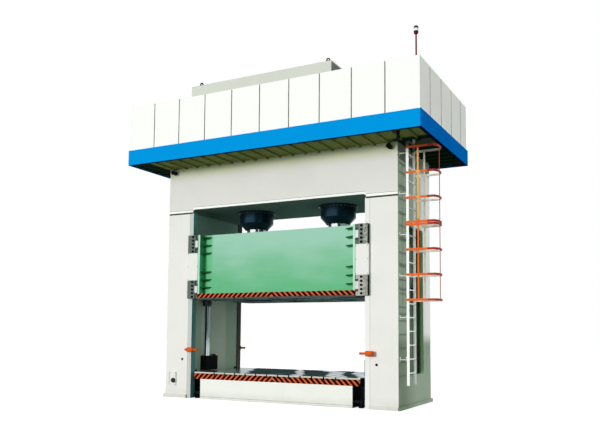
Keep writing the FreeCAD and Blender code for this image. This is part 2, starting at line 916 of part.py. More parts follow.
def fascia_front():
    """Row of equal trays along the platform's front."""
    left = -platform_left + fascia_inset
    right = platform_right - fascia_inset
    pitch = (right - left + fascia_gap) / fascia_panels
    trays = []
    for place in range(fascia_panels):
        panel = tray(pitch - fascia_gap, fascia_depth, fascia_height, fascia_sheet)
        panel.translate(Vector(left + place * pitch, -platform_front + fascia_inset, platform_top))
        trays.append(panel)
    return trays


def fascia_rear():
    """The same row along the back, turned to face backwards."""
    trays = []
    for panel in fascia_front():
        panel = flipped_y(panel)
        panel.translate(Vector(0, platform_back - platform_front, 0))
        trays.append(panel)
    return trays


def side_seams():
    """Ends of the side trays along Y: a corner tray, full trays and a closing tray."""
    start = -platform_front + fascia_inset + fascia_depth
    end = platform_back - fascia_inset - fascia_depth
    first = -platform_front + fascia_inset + side_corner_panel
    seams = [first + place * side_panel for place in range(side_full_panels + 1)]
    return [start] + seams + [end]


def fascia_right():
    """Row of trays along the platform's right side."""
    seams = side_seams()
    last = len(seams) - 2
    trays = []
    for place in range(last + 1):
        low = seams[place] + (fascia_gap / 2 if place > 0 else 0)
        high = seams[place + 1] - (fascia_gap / 2 if place < last else 0)
        panel = tray(high - low, fascia_depth, fascia_height, fascia_sheet)
        panel.rotate(Vector(0, 0, 0), Vector(0, 0, 1), 90)
        panel.translate(Vector(platform_right - fascia_inset, low, platform_top))
        trays.append(panel)
    return trays


def fascia_left():
    """The same row along the left side."""
    trays = []
    for panel in fascia_right():
        panel = flipped_x(panel)
        panel.translate(Vector(platform_right - platform_left, 0, 0))
        trays.append(panel)
    return trays


def fascia_posts():
    """Posts behind the seams that hold the trays."""
    high = fascia_top - post_drop
    left = -platform_left + fascia_inset
    right = platform_right - fascia_inset
    front = -platform_front + fascia_inset + fascia_depth
    back = platform_back - fascia_inset - fascia_depth
    pitch = (right - left + fascia_gap) / fascia_panels
    half = post_width / 2
    posts = []
    for place in range(1, fascia_panels):
        x = left + place * pitch - fascia_gap / 2
        posts.append(block(x - half, x + half, front, front + post_depth, platform_top, high))
        posts.append(block(x - half, x + half, back - post_depth, back, platform_top, high))
    inner_left = left + fascia_depth
    inner_right = right - fascia_depth
    for y in side_seams()[1:-1]:
        posts.append(block(
            inner_right - post_depth, inner_right, y - half, y + half, platform_top, high,
        ))
        posts.append(block(
            inner_left, inner_left + post_depth, y - half, y + half, platform_top, high,
        ))
    return grouped(posts)


# ---- oil tank ----------------------------------------------------------------------------
def oil_tank():
    """Folded sheet tank, open on top, on two feet along the crown."""
    outer = block(-tank_left, tank_right, -tank_front, tank_back, tank_bottom, tank_top)
    hollow = block(
        -tank_left + tank_sheet, tank_right - tank_sheet,
        -tank_front + tank_sheet, tank_back - tank_sheet, tank_bottom + tank_sheet, tank_top,
    )
    feet = []
    for y in (-tank_front + tank_foot_inset, tank_back - tank_foot_inset - tank_foot_width):
        feet.append(block(
            -tank_left, tank_right, y, y + tank_foot_width, crown_top, tank_bottom,
        ))
    return joined([outer.cut(hollow)] + feet)


def tank_lid():
    """Flat lid on the tank."""
    return block(
        -tank_left, tank_right, -tank_front, tank_back, tank_top, tank_top + lid_thickness
    )


def tank_lugs():
    """Lifting lugs near the corners of the lid."""
    base = tank_top + lid_thickness
    half = lug_width / 2
    lugs = []
    for x in (-tank_left + lug_inset_left, tank_right - lug_inset_right - half):
        for y in (-tank_front + lug_inset_depth, tank_back - lug_inset_depth):
            outline = [
                (x - half, base), (x + half, base), (x + half * 0.45, base + lug_height),
                (x - half * 0.45, base + lug_height),
            ]
            lug = front_prism(outline, y - lug_thickness / 2, y + lug_thickness / 2)
            hole = Part.makeCylinder(
                lug_hole / 2, lug_thickness, Vector(x, y - lug_thickness / 2, base + lug_height / 2),
                Vector(0, 1, 0),
            )
            lugs.append(lug.cut(hole))
    return grouped(lugs)


# ---- pump sets ---------------------------------------------------------------------------
def pump_motor():
    """Finned electric motor lying along Y on its feet."""
    body = motor_diameter / 2
    tip = body + motor_fin_height
    step = 2 * math.pi / motor_fins
    outline = []
    for fin in range(motor_fins):
        angle = fin * step
        for radius, turn in ((body, 0.0), (tip, 0.15), (tip, 0.35), (body, 0.5)):
            corner = angle + turn * step
            outline.append((radius * math.cos(corner), radius * math.sin(corner)))
    start = -motor_front + motor_end_cap
    finned = front_prism(outline, start, start + motor_length - 2 * motor_end_cap)
    core = Part.makeCylinder(body, motor_length, Vector(0, -motor_front, 0), Vector(0, 1, 0))
    half = motor_foot_width / 2
    foot = block(
        -half, half, start, start + motor_length - 2 * motor_end_cap, -motor_axis_height, -body / 2,
    )
    return joined([core, finned, foot])


def oil_pump():
    """Pump with the bell housing that joins it to the motor."""
    start = -motor_front + motor_length
    bell_end = start + bell_length
    tip = bell_tip_diameter / 2
    body = pump_body_diameter / 2
    turned_body = turned([
        (0, start), (motor_diameter / 2, start), (tip, bell_end), (body, bell_end),
        (body, bell_end + pump_length), (0, bell_end + pump_length),
    ])
    turned_body.rotate(Vector(0, 0, 0), Vector(1, 0, 0), -90)
    port_y = bell_end + pump_length / 2
    port = Part.makeCylinder(
        pump_port_diameter / 2, body + pump_port_reach, Vector(0, port_y, 0), Vector(-1, 0, 0)
    )
    return joined([turned_body, port])


def pump_row(shape):
    """One piece on each pump set, on the crown."""
    pieces = []
    for x in (pump_middle - pump_pitch / 2, pump_middle + pump_pitch / 2):
        piece = shape.copy()
        piece.translate(Vector(x, 0, crown_top + motor_axis_height))
        pieces.append(piece)
    return grouped(pieces)


# ---- ladder and cage ---------------------------------------------------------------------
def ladder_stiles():
    """Two flat stiles, each in two lengths that meet at the cage's joint."""
    near = ladder_x - stile_width / 2
    far = ladder_x + stile_width / 2
    stiles = []
    for low, high in ((ladder_bottom, ladder_joint), (ladder_joint, ladder_top)):
        stiles.append(block(near, far, -ladder_front, -ladder_front + stile_plate, low, high))
        stiles.append(block(near, far, -ladder_rear - stile_plate, -ladder_rear, low, high))
    return grouped(stiles)


def ladder_rungs():
    """Square rungs between the stiles."""
    half = rung_size / 2
    front = -ladder_front + stile_plate
    rear = -ladder_rear - stile_plate
    levels = ladder_levels(ladder_bottom, ladder_top, first_rung, rung_pitch)
    return grouped([
        block(ladder_x - half, ladder_x + half, front, rear, z - half, z + half) for z in levels
    ])


def ladder_brackets():
    """Brackets that hold the stiles off the frame's side."""
    near = ladder_x - stile_width / 2
    half_pad = bracket_pad / 2
    half_bar = bracket_plate / 2
    brackets = []
    for z in ladder_levels(ladder_bottom, platform_bottom, bracket_first, bracket_pitch):
        for edge, way in ((-ladder_front, 1), (-ladder_rear, -1)):
            low, high = sorted((edge, edge + way * bracket_width))
            brackets.append(joined([
                block(half_width, near, low, high, z - half_bar, z + half_bar),
                block(half_width, half_width + bracket_plate, low, high, z - half_pad, z + half_pad),
            ]))
    return grouped(brackets)


def ladder_levels(low, high, first, pitch):
    """Evenly stepped heights between two ends."""
    count = math.floor((high - first) / pitch) + 1
    levels = [first + step * pitch for step in range(count)]
    return [z for z in levels if low < z < high]


def hoop(z_low):
    """One flat-bar hoop of the cage, from stile to stile."""
    def outline(inset):
        front = -ladder_front - hoop_plate + inset
        rear = -ladder_rear + hoop_plate - inset
        start = ladder_x - stile_width / 2
        tip = ladder_x + stile_width / 2 + hoop_reach - inset
        shoulder = tip - hoop_corner_run
        return [
            (start, front), (shoulder, front), (tip, front + hoop_corner_rise),
            (tip, rear - hoop_corner_rise), (shoulder, rear), (start, rear),
        ]
    outer = plan_prism(outline(0), z_low, z_low + hoop_bar)
    inner = plan_prism(outline(hoop_plate), z_low, z_low + hoop_bar)
    return outer.cut(inner)


def cage_straps(levels):
    """Three upright straps inside the hoops of one section."""
    low = levels[0]
    high = levels[-1] + hoop_bar
    strap_x = ladder_x + stile_width / 2 + strap_reach
    half = strap_width / 2
    tip = ladder_x + stile_width / 2 + hoop_reach - hoop_plate
    middle = -(ladder_front + ladder_rear) / 2
    front = block(
        strap_x - half, strap_x + half, -ladder_front, -ladder_front + strap_plate, low, high,
    )
    rear = block(
        strap_x - half, strap_x + half, -ladder_rear - strap_plate, -ladder_rear, low, high,
    )
    outer = block(tip - strap_plate, tip, middle - half, middle + half, low, high)
    return [front, rear, outer]


def upper_hoops():
    """Lower edges of the upper cage's hoops."""
    levels = [hoop_top - hoop_bar - step * hoop_pitch for step in range(hoops_upper - 1)]
    return [ladder_joint + cage_joint_gap / 2] + levels[::-1]


def lower_hoops():
    """Lower edges of the lower cage's hoops."""
    joint = ladder_joint - cage_joint_gap / 2 - hoop_bar
    levels = [joint - step * lower_hoop_pitch for step in range(hoops_lower)]
    return levels[::-1]


# ---- small fittings ----------------------------------------------------------------------
def crown_trunnions():
    """Lifting trunnions on the crown's front and back."""
    x = half_width - trunnion_inset
    z = platform_bottom - trunnion_drop
    pin = Part.makeCylinder(
        trunnion_diameter / 2, trunnion_length, Vector(x, -half_depth, z), Vector(0, -1, 0)
    )
    return grouped(four_corners(pin))


def socket_box():
    """Small service box on the left column's front."""
    x = -half_width + socket_box_inset
    half = socket_box_width / 2
    low = socket_box_middle - socket_box_height / 2
    box = block(
        x - half, x + half,
        -half_depth - socket_box_depth, -half_depth, low, low + socket_box_height,
    )
    upright_edges = [edge for edge in box.Edges if edge.tangentAt(0).y ** 2 > 0.99]
    return box.makeFillet(socket_box_depth / 2, upright_edges)


def socket():
    """Round socket on the service box."""
    x = -half_width + socket_box_inset + socket_shift
    z = socket_box_middle - socket_drop
    face = -half_depth - socket_box_depth
    return Part.makeCylinder(
        socket_diameter / 2, socket_depth, Vector(x, face, z), Vector(0, -1, 0)
    )


def beacon_pole():
    """Pole with a round foot on the deck."""
    foot = upright(
        beacon_x, beacon_y, beacon_foot_diameter, platform_top, platform_top + beacon_foot
    )
    pole = upright(beacon_x, beacon_y, beacon_pole_diameter, platform_top, beacon_pole_top)
    return joined([foot, pole])


def beacon_base():
    """Round base of the beacon."""
    radius = beacon_diameter / 2
    low = beacon_pole_top
    return turned([
        (0, low), (radius * 0.7, low), (radius, low + beacon_base_height / 2),
        (radius, low + beacon_base_height), (0, low + beacon_base_height),
    ], beacon_x, beacon_y)


def beacon_lens():
    """Clear ring of the beacon."""
    low = beacon_pole_top + beacon_base_height
    return upright(beacon_x, beacon_y, beacon_diameter * 0.92, low, low + beacon_lens_height)


def beacon_cap():
    """Domed cap of the beacon."""
    radius = beacon_diameter / 2
    low = beacon_pole_top + beacon_base_height + beacon_lens_height
    high = low + beacon_cap_height
    return turned([
        (0, low), (radius, low), (radius, low + beacon_cap_height * 0.4),
        (radius * 0.7, low + beacon_cap_height * 0.8), (radius * 0.3, high), (0, high),
    ], beacon_x, beacon_y)


# ---- the whole press ---------------------------------------------------------------------
def corner_nodes(name, shape):
    """The same piece in all four corners, each under its own name."""
    names = ["front_right", "front_left", "rear_right", "rear_left"]
    for corner, piece in zip(names, four_corners(shape)):
        save(name + "_" + corner, piece)


def build_frame():
    """Everything that stands still between the floor and the crown."""
    right = column()
    save("right_column", right)
    save("left_column", flipped_x(right))
    save("crown", crown())
    save("bed", bed())
    save("bed_ends", bed_ends())
    save("bolster", t_slot_plate(bolster_half, half_depth, bed_height, bolster_top))
    save("levelling_feet", grouped(four_corners(levelling_foot())))
    corner_nodes("guide_rail", guide_rail())
    save("tie_rods", tie_rods())
    save("tie_rod_nuts", tie_rod_nuts())
    save("lock_rods", lock_rods())
    save("lock_rod_seats", lock_rod_seats())
    save("beam_sensors", beam_sensors())
    save("crown_trunnions", crown_trunnions())
    save("socket_box", socket_box())
    save("socket", socket())


def build_drive():
    """Cylinders, glands and pistons."""
    for side, x in (("left", -cylinder_x), ("right", cylinder_x)):
        save("main_cylinder_" + side, main_cylinder(x))
        save("gland_" + side, gland(x))
        save("piston_rod_" + side, piston_rod(x))


def build_slide():
    """The slide and what it carries."""
    save("slide_body", slide_body())
    plate = t_slot_plate(slide_half, slide_half_depth, slide_plate_top, slide_bottom)
    save("slide_plate", plate)
    corner_nodes("guide_shoes", guide_shoe_pair())
    save("shoe_bolts", shoe_bolts())
    save("shoe_keepers", shoe_keepers())
    save("guide_covers", guide_covers())
    save("lock_brackets", lock_brackets())
    save("lock_housings", lock_housings())


def build_roof():
    """Platform, fascia, tank and pump sets."""
    save("edge_band", edge_band())
    save("deck_plate", deck_plate())
    save("platform_joists", platform_joists())
    save("soffit", soffit())
    save("soffit_battens", soffit_battens())
    save("fascia_front", grouped(fascia_front()))
    save("fascia_rear", grouped(fascia_rear()))
    save("fascia_right", grouped(fascia_right()))
    save("fascia_left", grouped(fascia_left()))
    save("fascia_posts", fascia_posts())
    save("oil_tank", oil_tank())
    save("tank_lid", tank_lid())
    save("tank_lugs", tank_lugs())
    save("pump_motors", pump_row(pump_motor()))
    save("oil_pumps", pump_row(oil_pump()))
    save("beacon_pole", beacon_pole())
    save("beacon_base", beacon_base())
    save("beacon_lens", beacon_lens())
    save("beacon_cap", beacon_cap())


def build_ladder():
    """The ladder and its cage in two sections."""
    save("ladder_stiles", ladder_stiles())
    save("ladder_rungs", ladder_rungs())
    save("ladder_brackets", ladder_brackets())
    save("cage_hoops", grouped([hoop(z) for z in lower_hoops() + upper_hoops()]))
    save("cage_straps", grouped(cage_straps(lower_hoops()) + cage_straps(upper_hoops())))


os.makedirs("parts", exist_ok=True)
build_frame()
build_drive()
build_slide()
build_roof()
build_ladder()
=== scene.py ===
"""Looks of a two-column hydraulic press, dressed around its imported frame.

Metres, +Z up, +X towards the ladder and -Y towards the operator.
"""
from __future__ import annotations

import logging
import math
from dataclasses import dataclass
from enum import Enum

import bpy
from mathutils import Matrix, Vector

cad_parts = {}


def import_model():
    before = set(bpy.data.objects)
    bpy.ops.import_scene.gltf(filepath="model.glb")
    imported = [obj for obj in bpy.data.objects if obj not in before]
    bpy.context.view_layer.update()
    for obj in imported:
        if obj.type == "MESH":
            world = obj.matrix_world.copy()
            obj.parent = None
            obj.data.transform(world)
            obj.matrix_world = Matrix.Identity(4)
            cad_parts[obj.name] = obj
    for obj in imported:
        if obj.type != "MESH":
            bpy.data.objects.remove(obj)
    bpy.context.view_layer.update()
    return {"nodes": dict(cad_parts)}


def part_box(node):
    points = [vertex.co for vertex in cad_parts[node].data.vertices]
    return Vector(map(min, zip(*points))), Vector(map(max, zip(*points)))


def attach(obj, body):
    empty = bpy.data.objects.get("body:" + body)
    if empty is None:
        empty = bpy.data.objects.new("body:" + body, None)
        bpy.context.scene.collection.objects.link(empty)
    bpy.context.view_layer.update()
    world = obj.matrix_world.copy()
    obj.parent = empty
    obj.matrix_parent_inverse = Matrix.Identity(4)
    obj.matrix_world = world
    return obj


LOG = logging.getLogger("press")

Point = tuple[float, float, float]
Colour = tuple[float, float, float]
Span = tuple[float, float]
Placement = tuple[Point, Point]
Piece = bpy.types.Object
Socket = bpy.types.NodeSocket

FAR = 90.0
SOFT = 0.002
SHARP_ANGLE = math.radians(35)
SMOOTH_ANGLE = math.radians(40)
FACES = (-1, 1)
UP: Point = (0.0, 0.0, 1.0)
DOWN: Point = (0.0, 0.0, -1.0)
FORWARD: Point = (0.0, -1.0, 0.0)
BACKWARD: Point = (0.0, 1.0, 0.0)
EVEN: Point = (1.0, 1.0, 1.0)
WHITE: Colour = (1.0, 1.0, 1.0)
# Painted shade in the corner pockets, near black.
POCKET_SHADE: Colour = (0.006, 0.008, 0.010)


class Body(Enum):
    """The two rigid bodies of the press."""

    FRAME = "frame"
    SLIDE = "slide"


class Side(Enum):
    """Left or right half of the press."""

    LEFT = -1
    RIGHT = 1

    @property
    def label(self) -> str:
        """The side's part of a piece's name."""
        return self.name.lower()


def shade(colour: Colour, factor: float) -> Colour:
    """A colour made darker, or lighter over 1."""
    return tuple(factor * channel for channel in colour)


@dataclass(frozen=True)
class Plan:
    """Places that several finishes and sub-assemblies share, as distances from the middle.

    Attributes:
        inner: Inner faces of the columns.
        outer: Outer faces of the columns.
        front: Front faces of columns and crown.
        joint: Height of the joint under the crown.
        underside: Height of the crown's underside between the columns.
        slide_end: Ends of the slide.
        slide_front: Front edges of its end plates.
        slide_bottom: Height of the slide plate's underside.
        plate_top: Height of the slide plate's top.
        slide_top: Height of the slide's top.
        bolster_end: Ends of the bolster.
    """

    inner: float
    outer: float
    front: float
    joint: float
    underside: float
    slide_end: float
    slide_front: float
    slide_bottom: float
    plate_top: float
    slide_top: float
    bolster_end: float

    @classmethod
    def read(cls) -> Plan:
        """Reads the places off the frame.

        Returns:
            The plan.
        """
        relief = 0.085
        column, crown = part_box("right_column"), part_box("crown")
        slide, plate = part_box("slide_body"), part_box("slide_plate")
        return cls(
            inner=column[0].x, outer=crown[1].x, front=crown[1].y, joint=column[1].z,
            underside=column[1].z + relief, slide_end=slide[1].x, slide_front=slide[1].y,
            slide_bottom=plate[0].z, plate_top=plate[1].z, slide_top=slide[1].z,
            bolster_end=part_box("bolster")[1].x,
        )


# ---- node sheets ---------------------------------------------------------------------------
class Wiring:
    """A node tree, built with short calls. A value is a socket, a node, a number or a colour."""

    def __init__(self, owner: bpy.types.ID) -> None:
        """Takes over the tree of a material or a world.

        Args:
            owner: The material or world.
        """
        owner.use_nodes = True
        self.tree = owner.node_tree
        self.tree.nodes.clear()

    def node(
        self, kind: str, inputs: dict[int | str, object] | None = None, **settings: object
    ) -> bpy.types.Node:
        """Adds a node.

        Args:
            kind: Blender's name of the node type, after ShaderNode.
            inputs: Value of each input, by number or name.
            **settings: Properties to set on it.

        Returns:
            The new node.
        """
        made = self.tree.nodes.new("ShaderNode" + kind)
        for key, value in settings.items():
            setattr(made, key, value)
        for key, value in (inputs or {}).items():
            self.feed(made.inputs[key], value)
        return made

    def feed(self, socket: Socket, value: object) -> None:
        """Links a socket, or sets its value.

        Args:
            socket: Input to fill.
            value: Value to give it.
        """
        if isinstance(value, bpy.types.Node):
            value = value.outputs[0]
        if isinstance(value, Socket):
            self.tree.links.new(value, socket)
        elif socket.type == "RGBA":
            socket.default_value = (*value, 1.0)
        else:
            socket.default_value = value

    def math(self, operation: str, *values: object) -> object:
        """Chains values by one operation.

        Args:
            operation: Blender's name of the operation.
            *values: Values in their order.

        Returns:
            The result's socket.
        """
        result = values[0]
        for value in values[1:] or (0.0,):
            result = self.node("Math", {0: result, 1: value}, operation=operation).outputs[0]
        return result

    def times(self, *values: object) -> object:
        """The product of some values."""
        return self.math("MULTIPLY", *values)

    def mix(self, amount: object, first: object, second: object) -> Socket:
        """Mixes two colours; 0 gives the first one, 1 the second."""
        return self.node("Mix", {0: amount, 6: first, 7: second}, data_type="RGBA").outputs[2]

    def blend(self, amount: object, first: object, second: object) -> Socket:
        """Mixes two numbers; 0 gives the first one, 1 the second."""
        return self.node("Mix", {0: amount, 2: first, 3: second}, data_type="FLOAT").outputs[0]


class NodeSheet(Wiring):
    """A material's node tree over the piece's own coordinates."""

    def __init__(self, name: str) -> None:
        """Starts a sheet with a shader and its output.

        Args:
            name: Name of the material.
        """
        self.material = bpy.data.materials.new(name)
        super().__init__(self.material)
        self.shader = self.node("BsdfPrincipled")
        self.node("OutputMaterial", {"Surface": self.shader})
        self.place = self.node("TexCoord").outputs["Object"]
        self.x, self.y, self.z = self.node("SeparateXYZ", {0: self.place}).outputs
        self.noises: dict[tuple[float, float, Point], Socket] = {}
        self.masks: dict[Zone, object] = {}

    def away(self, place: Socket) -> object:
        """Distance from the middle along X or Y."""
        return self.math("ABSOLUTE", place)

    def ramp(self, value: object, low: float, high: float) -> Socket:
        """A smooth step from 0 at low to 1 at high; high may be the smaller one.

        Args:
            value: Value to read.
            low: Value that gives 0.
            high: Value that gives 1.

        Returns:
            The step's socket.
        """
        start, end = (1.0, 0.0) if low > high else (0.0, 1.0)
        ends = {"From Min": min(low, high), "From Max": max(low, high), "To Min": start, "To Max": end}
        step = self.node("MapRange", {"Value": value, **ends}, interpolation_type="SMOOTHSTEP", clamp=True)
        return step.outputs["Result"]

    def within(self, value: object, low: float, high: float, edge: float = SOFT) -> object:
        """1 between two values and 0 outside them, over a soft edge."""
        return self.times(self.ramp(value, low - edge, low), self.ramp(value, high + edge, high))

    def past(self, place: Socket, limit: float) -> Socket:
        """1 where a place is further from the middle than just under a limit."""
        return self.ramp(self.away(place), limit - 0.003, limit - 0.001)

    def noise(self, scale: float, detail: float = 3.0, stretch: Point = EVEN) -> Socket:
        """Noise over the piece; the same one is built only once.

        Args:
            scale: Waves in a metre.
            detail: Number of finer layers.
            stretch: Factor along each axis; a small one draws the noise out.

        Returns:
            The noise's socket.
        """
        key = (scale, detail, stretch)
        if key not in self.noises:
            place = self.node("Mapping", {"Vector": self.place, "Scale": stretch})
            made = self.node("TexNoise", {"Vector": place, "Scale": scale, "Detail": detail})
            self.noises[key] = made.outputs["Fac"]
        return self.noises[key]

    def relief(self, height: object, depth: float, edge_radius: float = 0.0) -> None:
        """Gives the surface a relief, over softened edges.

        Args:
            height: The relief, 0 to 1.
            depth: Height of the relief in metres.
            edge_radius: Radius that hard edges are shaded with; 0 leaves them hard.
        """
        inputs = {"Distance": depth, "Strength": 1.0, "Height": height}
        if edge_radius > 0:
            inputs["Normal"] = self.node("Bevel", {"Radius": edge_radius}, samples=4)
        self.feed(self.shader.inputs["Normal"], self.node("Bump", inputs))

    def finish(self, colour: object, roughness: object, metallic: object = 0.0, gloss: object = 0.5) -> None:
        """Sets the shader's main inputs.

        Args:
            colour: Base colour.
            roughness: How dull it is.
            metallic: 0 for paint and plastic, 1 for bare metal.
            gloss: Strength of the gloss.
        """
        names = ("Base Color", "Roughness", "Metallic", "Specular IOR Level")
        for name, value in zip(names, (colour, roughness, metallic, gloss)):
            self.feed(self.shader.inputs[name], value)


# ---- finishes ------------------------------------------------------------------------------
@dataclass(frozen=True)
class Zone:
    """A box-shaped stretch of a piece with a colour of its own, a painted shade or a painted light, front and
    rear alike.

    Attributes:
        low: Lowest corner, with X and Y as distances from the middle.
        high: Highest corner.
        colour: Colour of the stretch.
        far: Colour that it turns into; left out where it stays the same.
        axis: 0, 1 or 2 for a turn along X, Y or Z.
        turn: Places where the turn starts and ends.
        ladder_side: True where X counts with its sign, for a zone on one side only.
        one_face: True where Y counts with its sign, for a zone at the front or the rear only.
        bare: Level of the mottling under which the zone is left out; 0 for none.
        soft_top: Height over which its upper edge fades.
        soft_side: Width over which its borders along X and Y fade.
        matt: True where the zone has no gloss.
        clouds: How strong the darker clouds in it are.
    """

    low: Point
    high: Point
    colour: Colour
    far: Colour | None = None
    axis: int = 2
    turn: Span = (0.0, 1.0)
    ladder_side: bool = False
    one_face: bool = False
    bare: float = 0.0
    soft_top: float = SOFT
    soft_side: float = SOFT
    matt: bool = False
    clouds: float = 0.35

    def mask(self, sheet: NodeSheet) -> object:
        """1 inside the zone and 0 outside it; built only once.

        Args:
            sheet: Sheet to build it on.

        Returns:
            The mask's socket.
        """
        if self in sheet.masks:
            return sheet.masks[self]
        across = sheet.x if self.ladder_side else sheet.away(sheet.x)
        along = sheet.y if self.one_face else sheet.away(sheet.y)
        mask = sheet.ramp(sheet.z, self.high[2] + self.soft_top, self.high[2])
        mask = sheet.times(mask, sheet.ramp(sheet.z, self.low[2] - SOFT, self.low[2]))
        for place, low, high in zip((across, along), self.low, self.high):
            if high - low < FAR:
                mask = sheet.times(mask, sheet.within(place, low, high, self.soft_side))
        if self.bare > 0:
            mottle = sheet.ramp(sheet.noise(34.0, 5.0), self.bare - 0.03, self.bare + 0.03)
            mask = sheet.times(mask, mottle)
        sheet.masks[self] = mask
        return mask

    def lay(self, sheet: NodeSheet, under: object) -> Socket:
        """Lays the zone over a colour.

        Args:
            sheet: Sheet to build it on.
            under: Colour outside the zone.

        Returns:
            The colour's socket.
        """
        own: object = self.colour
        if self.far is not None:
            turned = sheet.ramp((sheet.x, sheet.y, sheet.z)[self.axis], *self.turn)
            own = sheet.mix(turned, self.colour, self.far)
        clouds = sheet.times(sheet.ramp(sheet.noise(1.3, 5.0), 0.40, 0.75), self.clouds)
        own = sheet.mix(clouds, own, shade(self.colour, 0.5))
        return sheet.mix(self.mask(sheet), under, own)


@dataclass(frozen=True)
class Finish:
    """What every finish has.

    Attributes:
        name: Name of the finish.
        colour: Main colour.
        roughness: How dull it is.
    """

    name: str
    colour: Colour
    roughness: float

    def material(self) -> bpy.types.Material:
        """Builds the material.

        Returns:
            The finished material.
        """
        sheet = NodeSheet(self.name)
        self.apply(sheet)
        return sheet.material

    def apply(self, sheet: NodeSheet) -> None:
        """Fills the sheet; each kind of finish has its own way."""
        raise NotImplementedError


@dataclass(frozen=True)
class Paint(Finish):
    """Sprayed machine paint with faint stains, run-off, dust and stretches of other colours, painted shade
    and painted light.

    Attributes:
        stain: How strong the stains and run-off are.
        dust_height: Height above the floor that dust reaches; 0 for none.
        specular: Strength of the gloss.
        tint: Colour of the gloss.
        zones: The stretches, each laid over those before it.
    """

    stain: float = 0.10
    dust_height: float = 0.0
    specular: float = 0.5
    tint: Colour = WHITE
    zones: tuple[Zone, ...] = ()

    def field(self, sheet: NodeSheet) -> Socket:
        """The paint outside its zones.

        Args:
            sheet: Sheet to build it on.

        Returns:
            The colour's socket.
        """
        dark = shade(self.colour, 0.62)
        clouds = sheet.times(sheet.ramp(sheet.noise(1.3, 5.0), 0.45, 0.75), self.stain)
        colour = sheet.mix(clouds, self.colour, dark)
        runs = sheet.ramp(sheet.noise(9.0, 4.0, (1.0, 1.0, 0.06)), 0.60, 0.80)
        colour = sheet.mix(sheet.times(runs, self.stain), colour, dark)
        if self.dust_height > 0:
            low = sheet.ramp(sheet.z, self.dust_height, 0.0)
            dust = sheet.times(low, sheet.blend(sheet.noise(5.0, 6.0), 0.05, 0.45))
            colour = sheet.mix(dust, colour, (0.36, 0.35, 0.30))
        return colour

    def surface(self, sheet: NodeSheet) -> Socket:
        """The paint with its zones.

        Args:
            sheet: Sheet to build it on.

        Returns:
            The colour's socket.
        """
        colour = self.field(sheet)
        for zone in self.zones:
            colour = zone.lay(sheet, colour)
        return colour

    def gloss(self, sheet: NodeSheet) -> object:
        """Strength of the gloss, none in the matt zones.

        Args:
            sheet: Sheet to build it on.

        Returns:
            A number or a socket.
        """
        strength: object = self.specular
        for zone in self.zones:
            if zone.matt:
                strength = sheet.blend(zone.mask(sheet), strength, 0.0)
        return strength

    def apply(self, sheet: NodeSheet) -> None:
        """Lays the paint over plate waves and the fine peel of spraying.

        Args:
            sheet: Sheet to build it on.
        """
        waves, peel = sheet.times(sheet.noise(1.1, 1.0), 0.85), sheet.times(sheet.noise(160.0, 2.0), 0.05)
        sheet.relief(sheet.math("ADD", waves, peel), 0.006, 0.005)
        sheet.feed(sheet.shader.inputs["Specular Tint"], self.tint)
        dull = sheet.blend(sheet.noise(3.0, 4.0), self.roughness - 0.06, self.roughness + 0.10)
        sheet.finish(self.surface(sheet), dull, gloss=self.gloss(sheet))


@dataclass(frozen=True)
class SlidePaint(Paint):
    """The slide's glossy green, with a painted sheen that pales it towards its top.

    Attributes:
        faded: Colour of the painted sheen at the top.
        fade: Heights where the full green and the painted sheen are.
    """

    faded: Colour = (0.31, 0.57, 0.44)
    fade: Span = (2.55, 4.05)

    def field(self, sheet: NodeSheet) -> Socket:
        """The green with its painted sheen, in blotches and streaks and weaker at the left end.

        Args:
            sheet: Sheet to build it on.

        Returns:
            The colour's socket.
        """
        # Painted sheen: how high it reaches, raised and lowered in blotches and streaks, lower at the left
        # end.
        sheen_level = sheet.math(
            "ADD", sheet.z, sheet.blend(sheet.noise(0.8, 3.0), -0.45, 0.45),
            sheet.blend(sheet.noise(2.6, 4.0, (0.35, 1.0, 1.5)), -0.35, 0.35),
            sheet.blend(sheet.ramp(sheet.x, -1.9, -0.9), -0.22, 0.0),
        )
        return sheet.mix(sheet.ramp(sheen_level, *self.fade), Paint.field(self, sheet), self.faded)


@dataclass(frozen=True)
class ChequerPlate(Paint):
    """Deck plate with raised lozenges.

    Attributes:
        pitch: Distance between lozenges.
        rubbed: Colour of their rubbed tops.
    """

    pitch: float = 0.055
    rubbed: Colour = (0.50, 0.51, 0.50)

    def apply(self, sheet: NodeSheet) -> None:
        """Raises the lozenges in two directions.

        Args:
            sheet: Sheet to build it on.
        """
        rises = []
        for tilt in (1.0, -1.0):
            slope = sheet.times(sheet.y, tilt)
            short = sheet.times(sheet.math("ADD", sheet.x, slope), math.tau / self.pitch)
            long = sheet.times(sheet.math("SUBTRACT", sheet.x, slope), math.pi / self.pitch)
            waves = sheet.times(sheet.math("SINE", short), sheet.math("SINE", long))
            rises.append(sheet.ramp(waves, 0.45, 0.75))
        rise = sheet.math("MAXIMUM", *rises)
        sheet.relief(rise, 0.002)
        sheet.finish(sheet.mix(sheet.times(rise, 0.4), self.surface(sheet), self.rubbed), self.roughness)


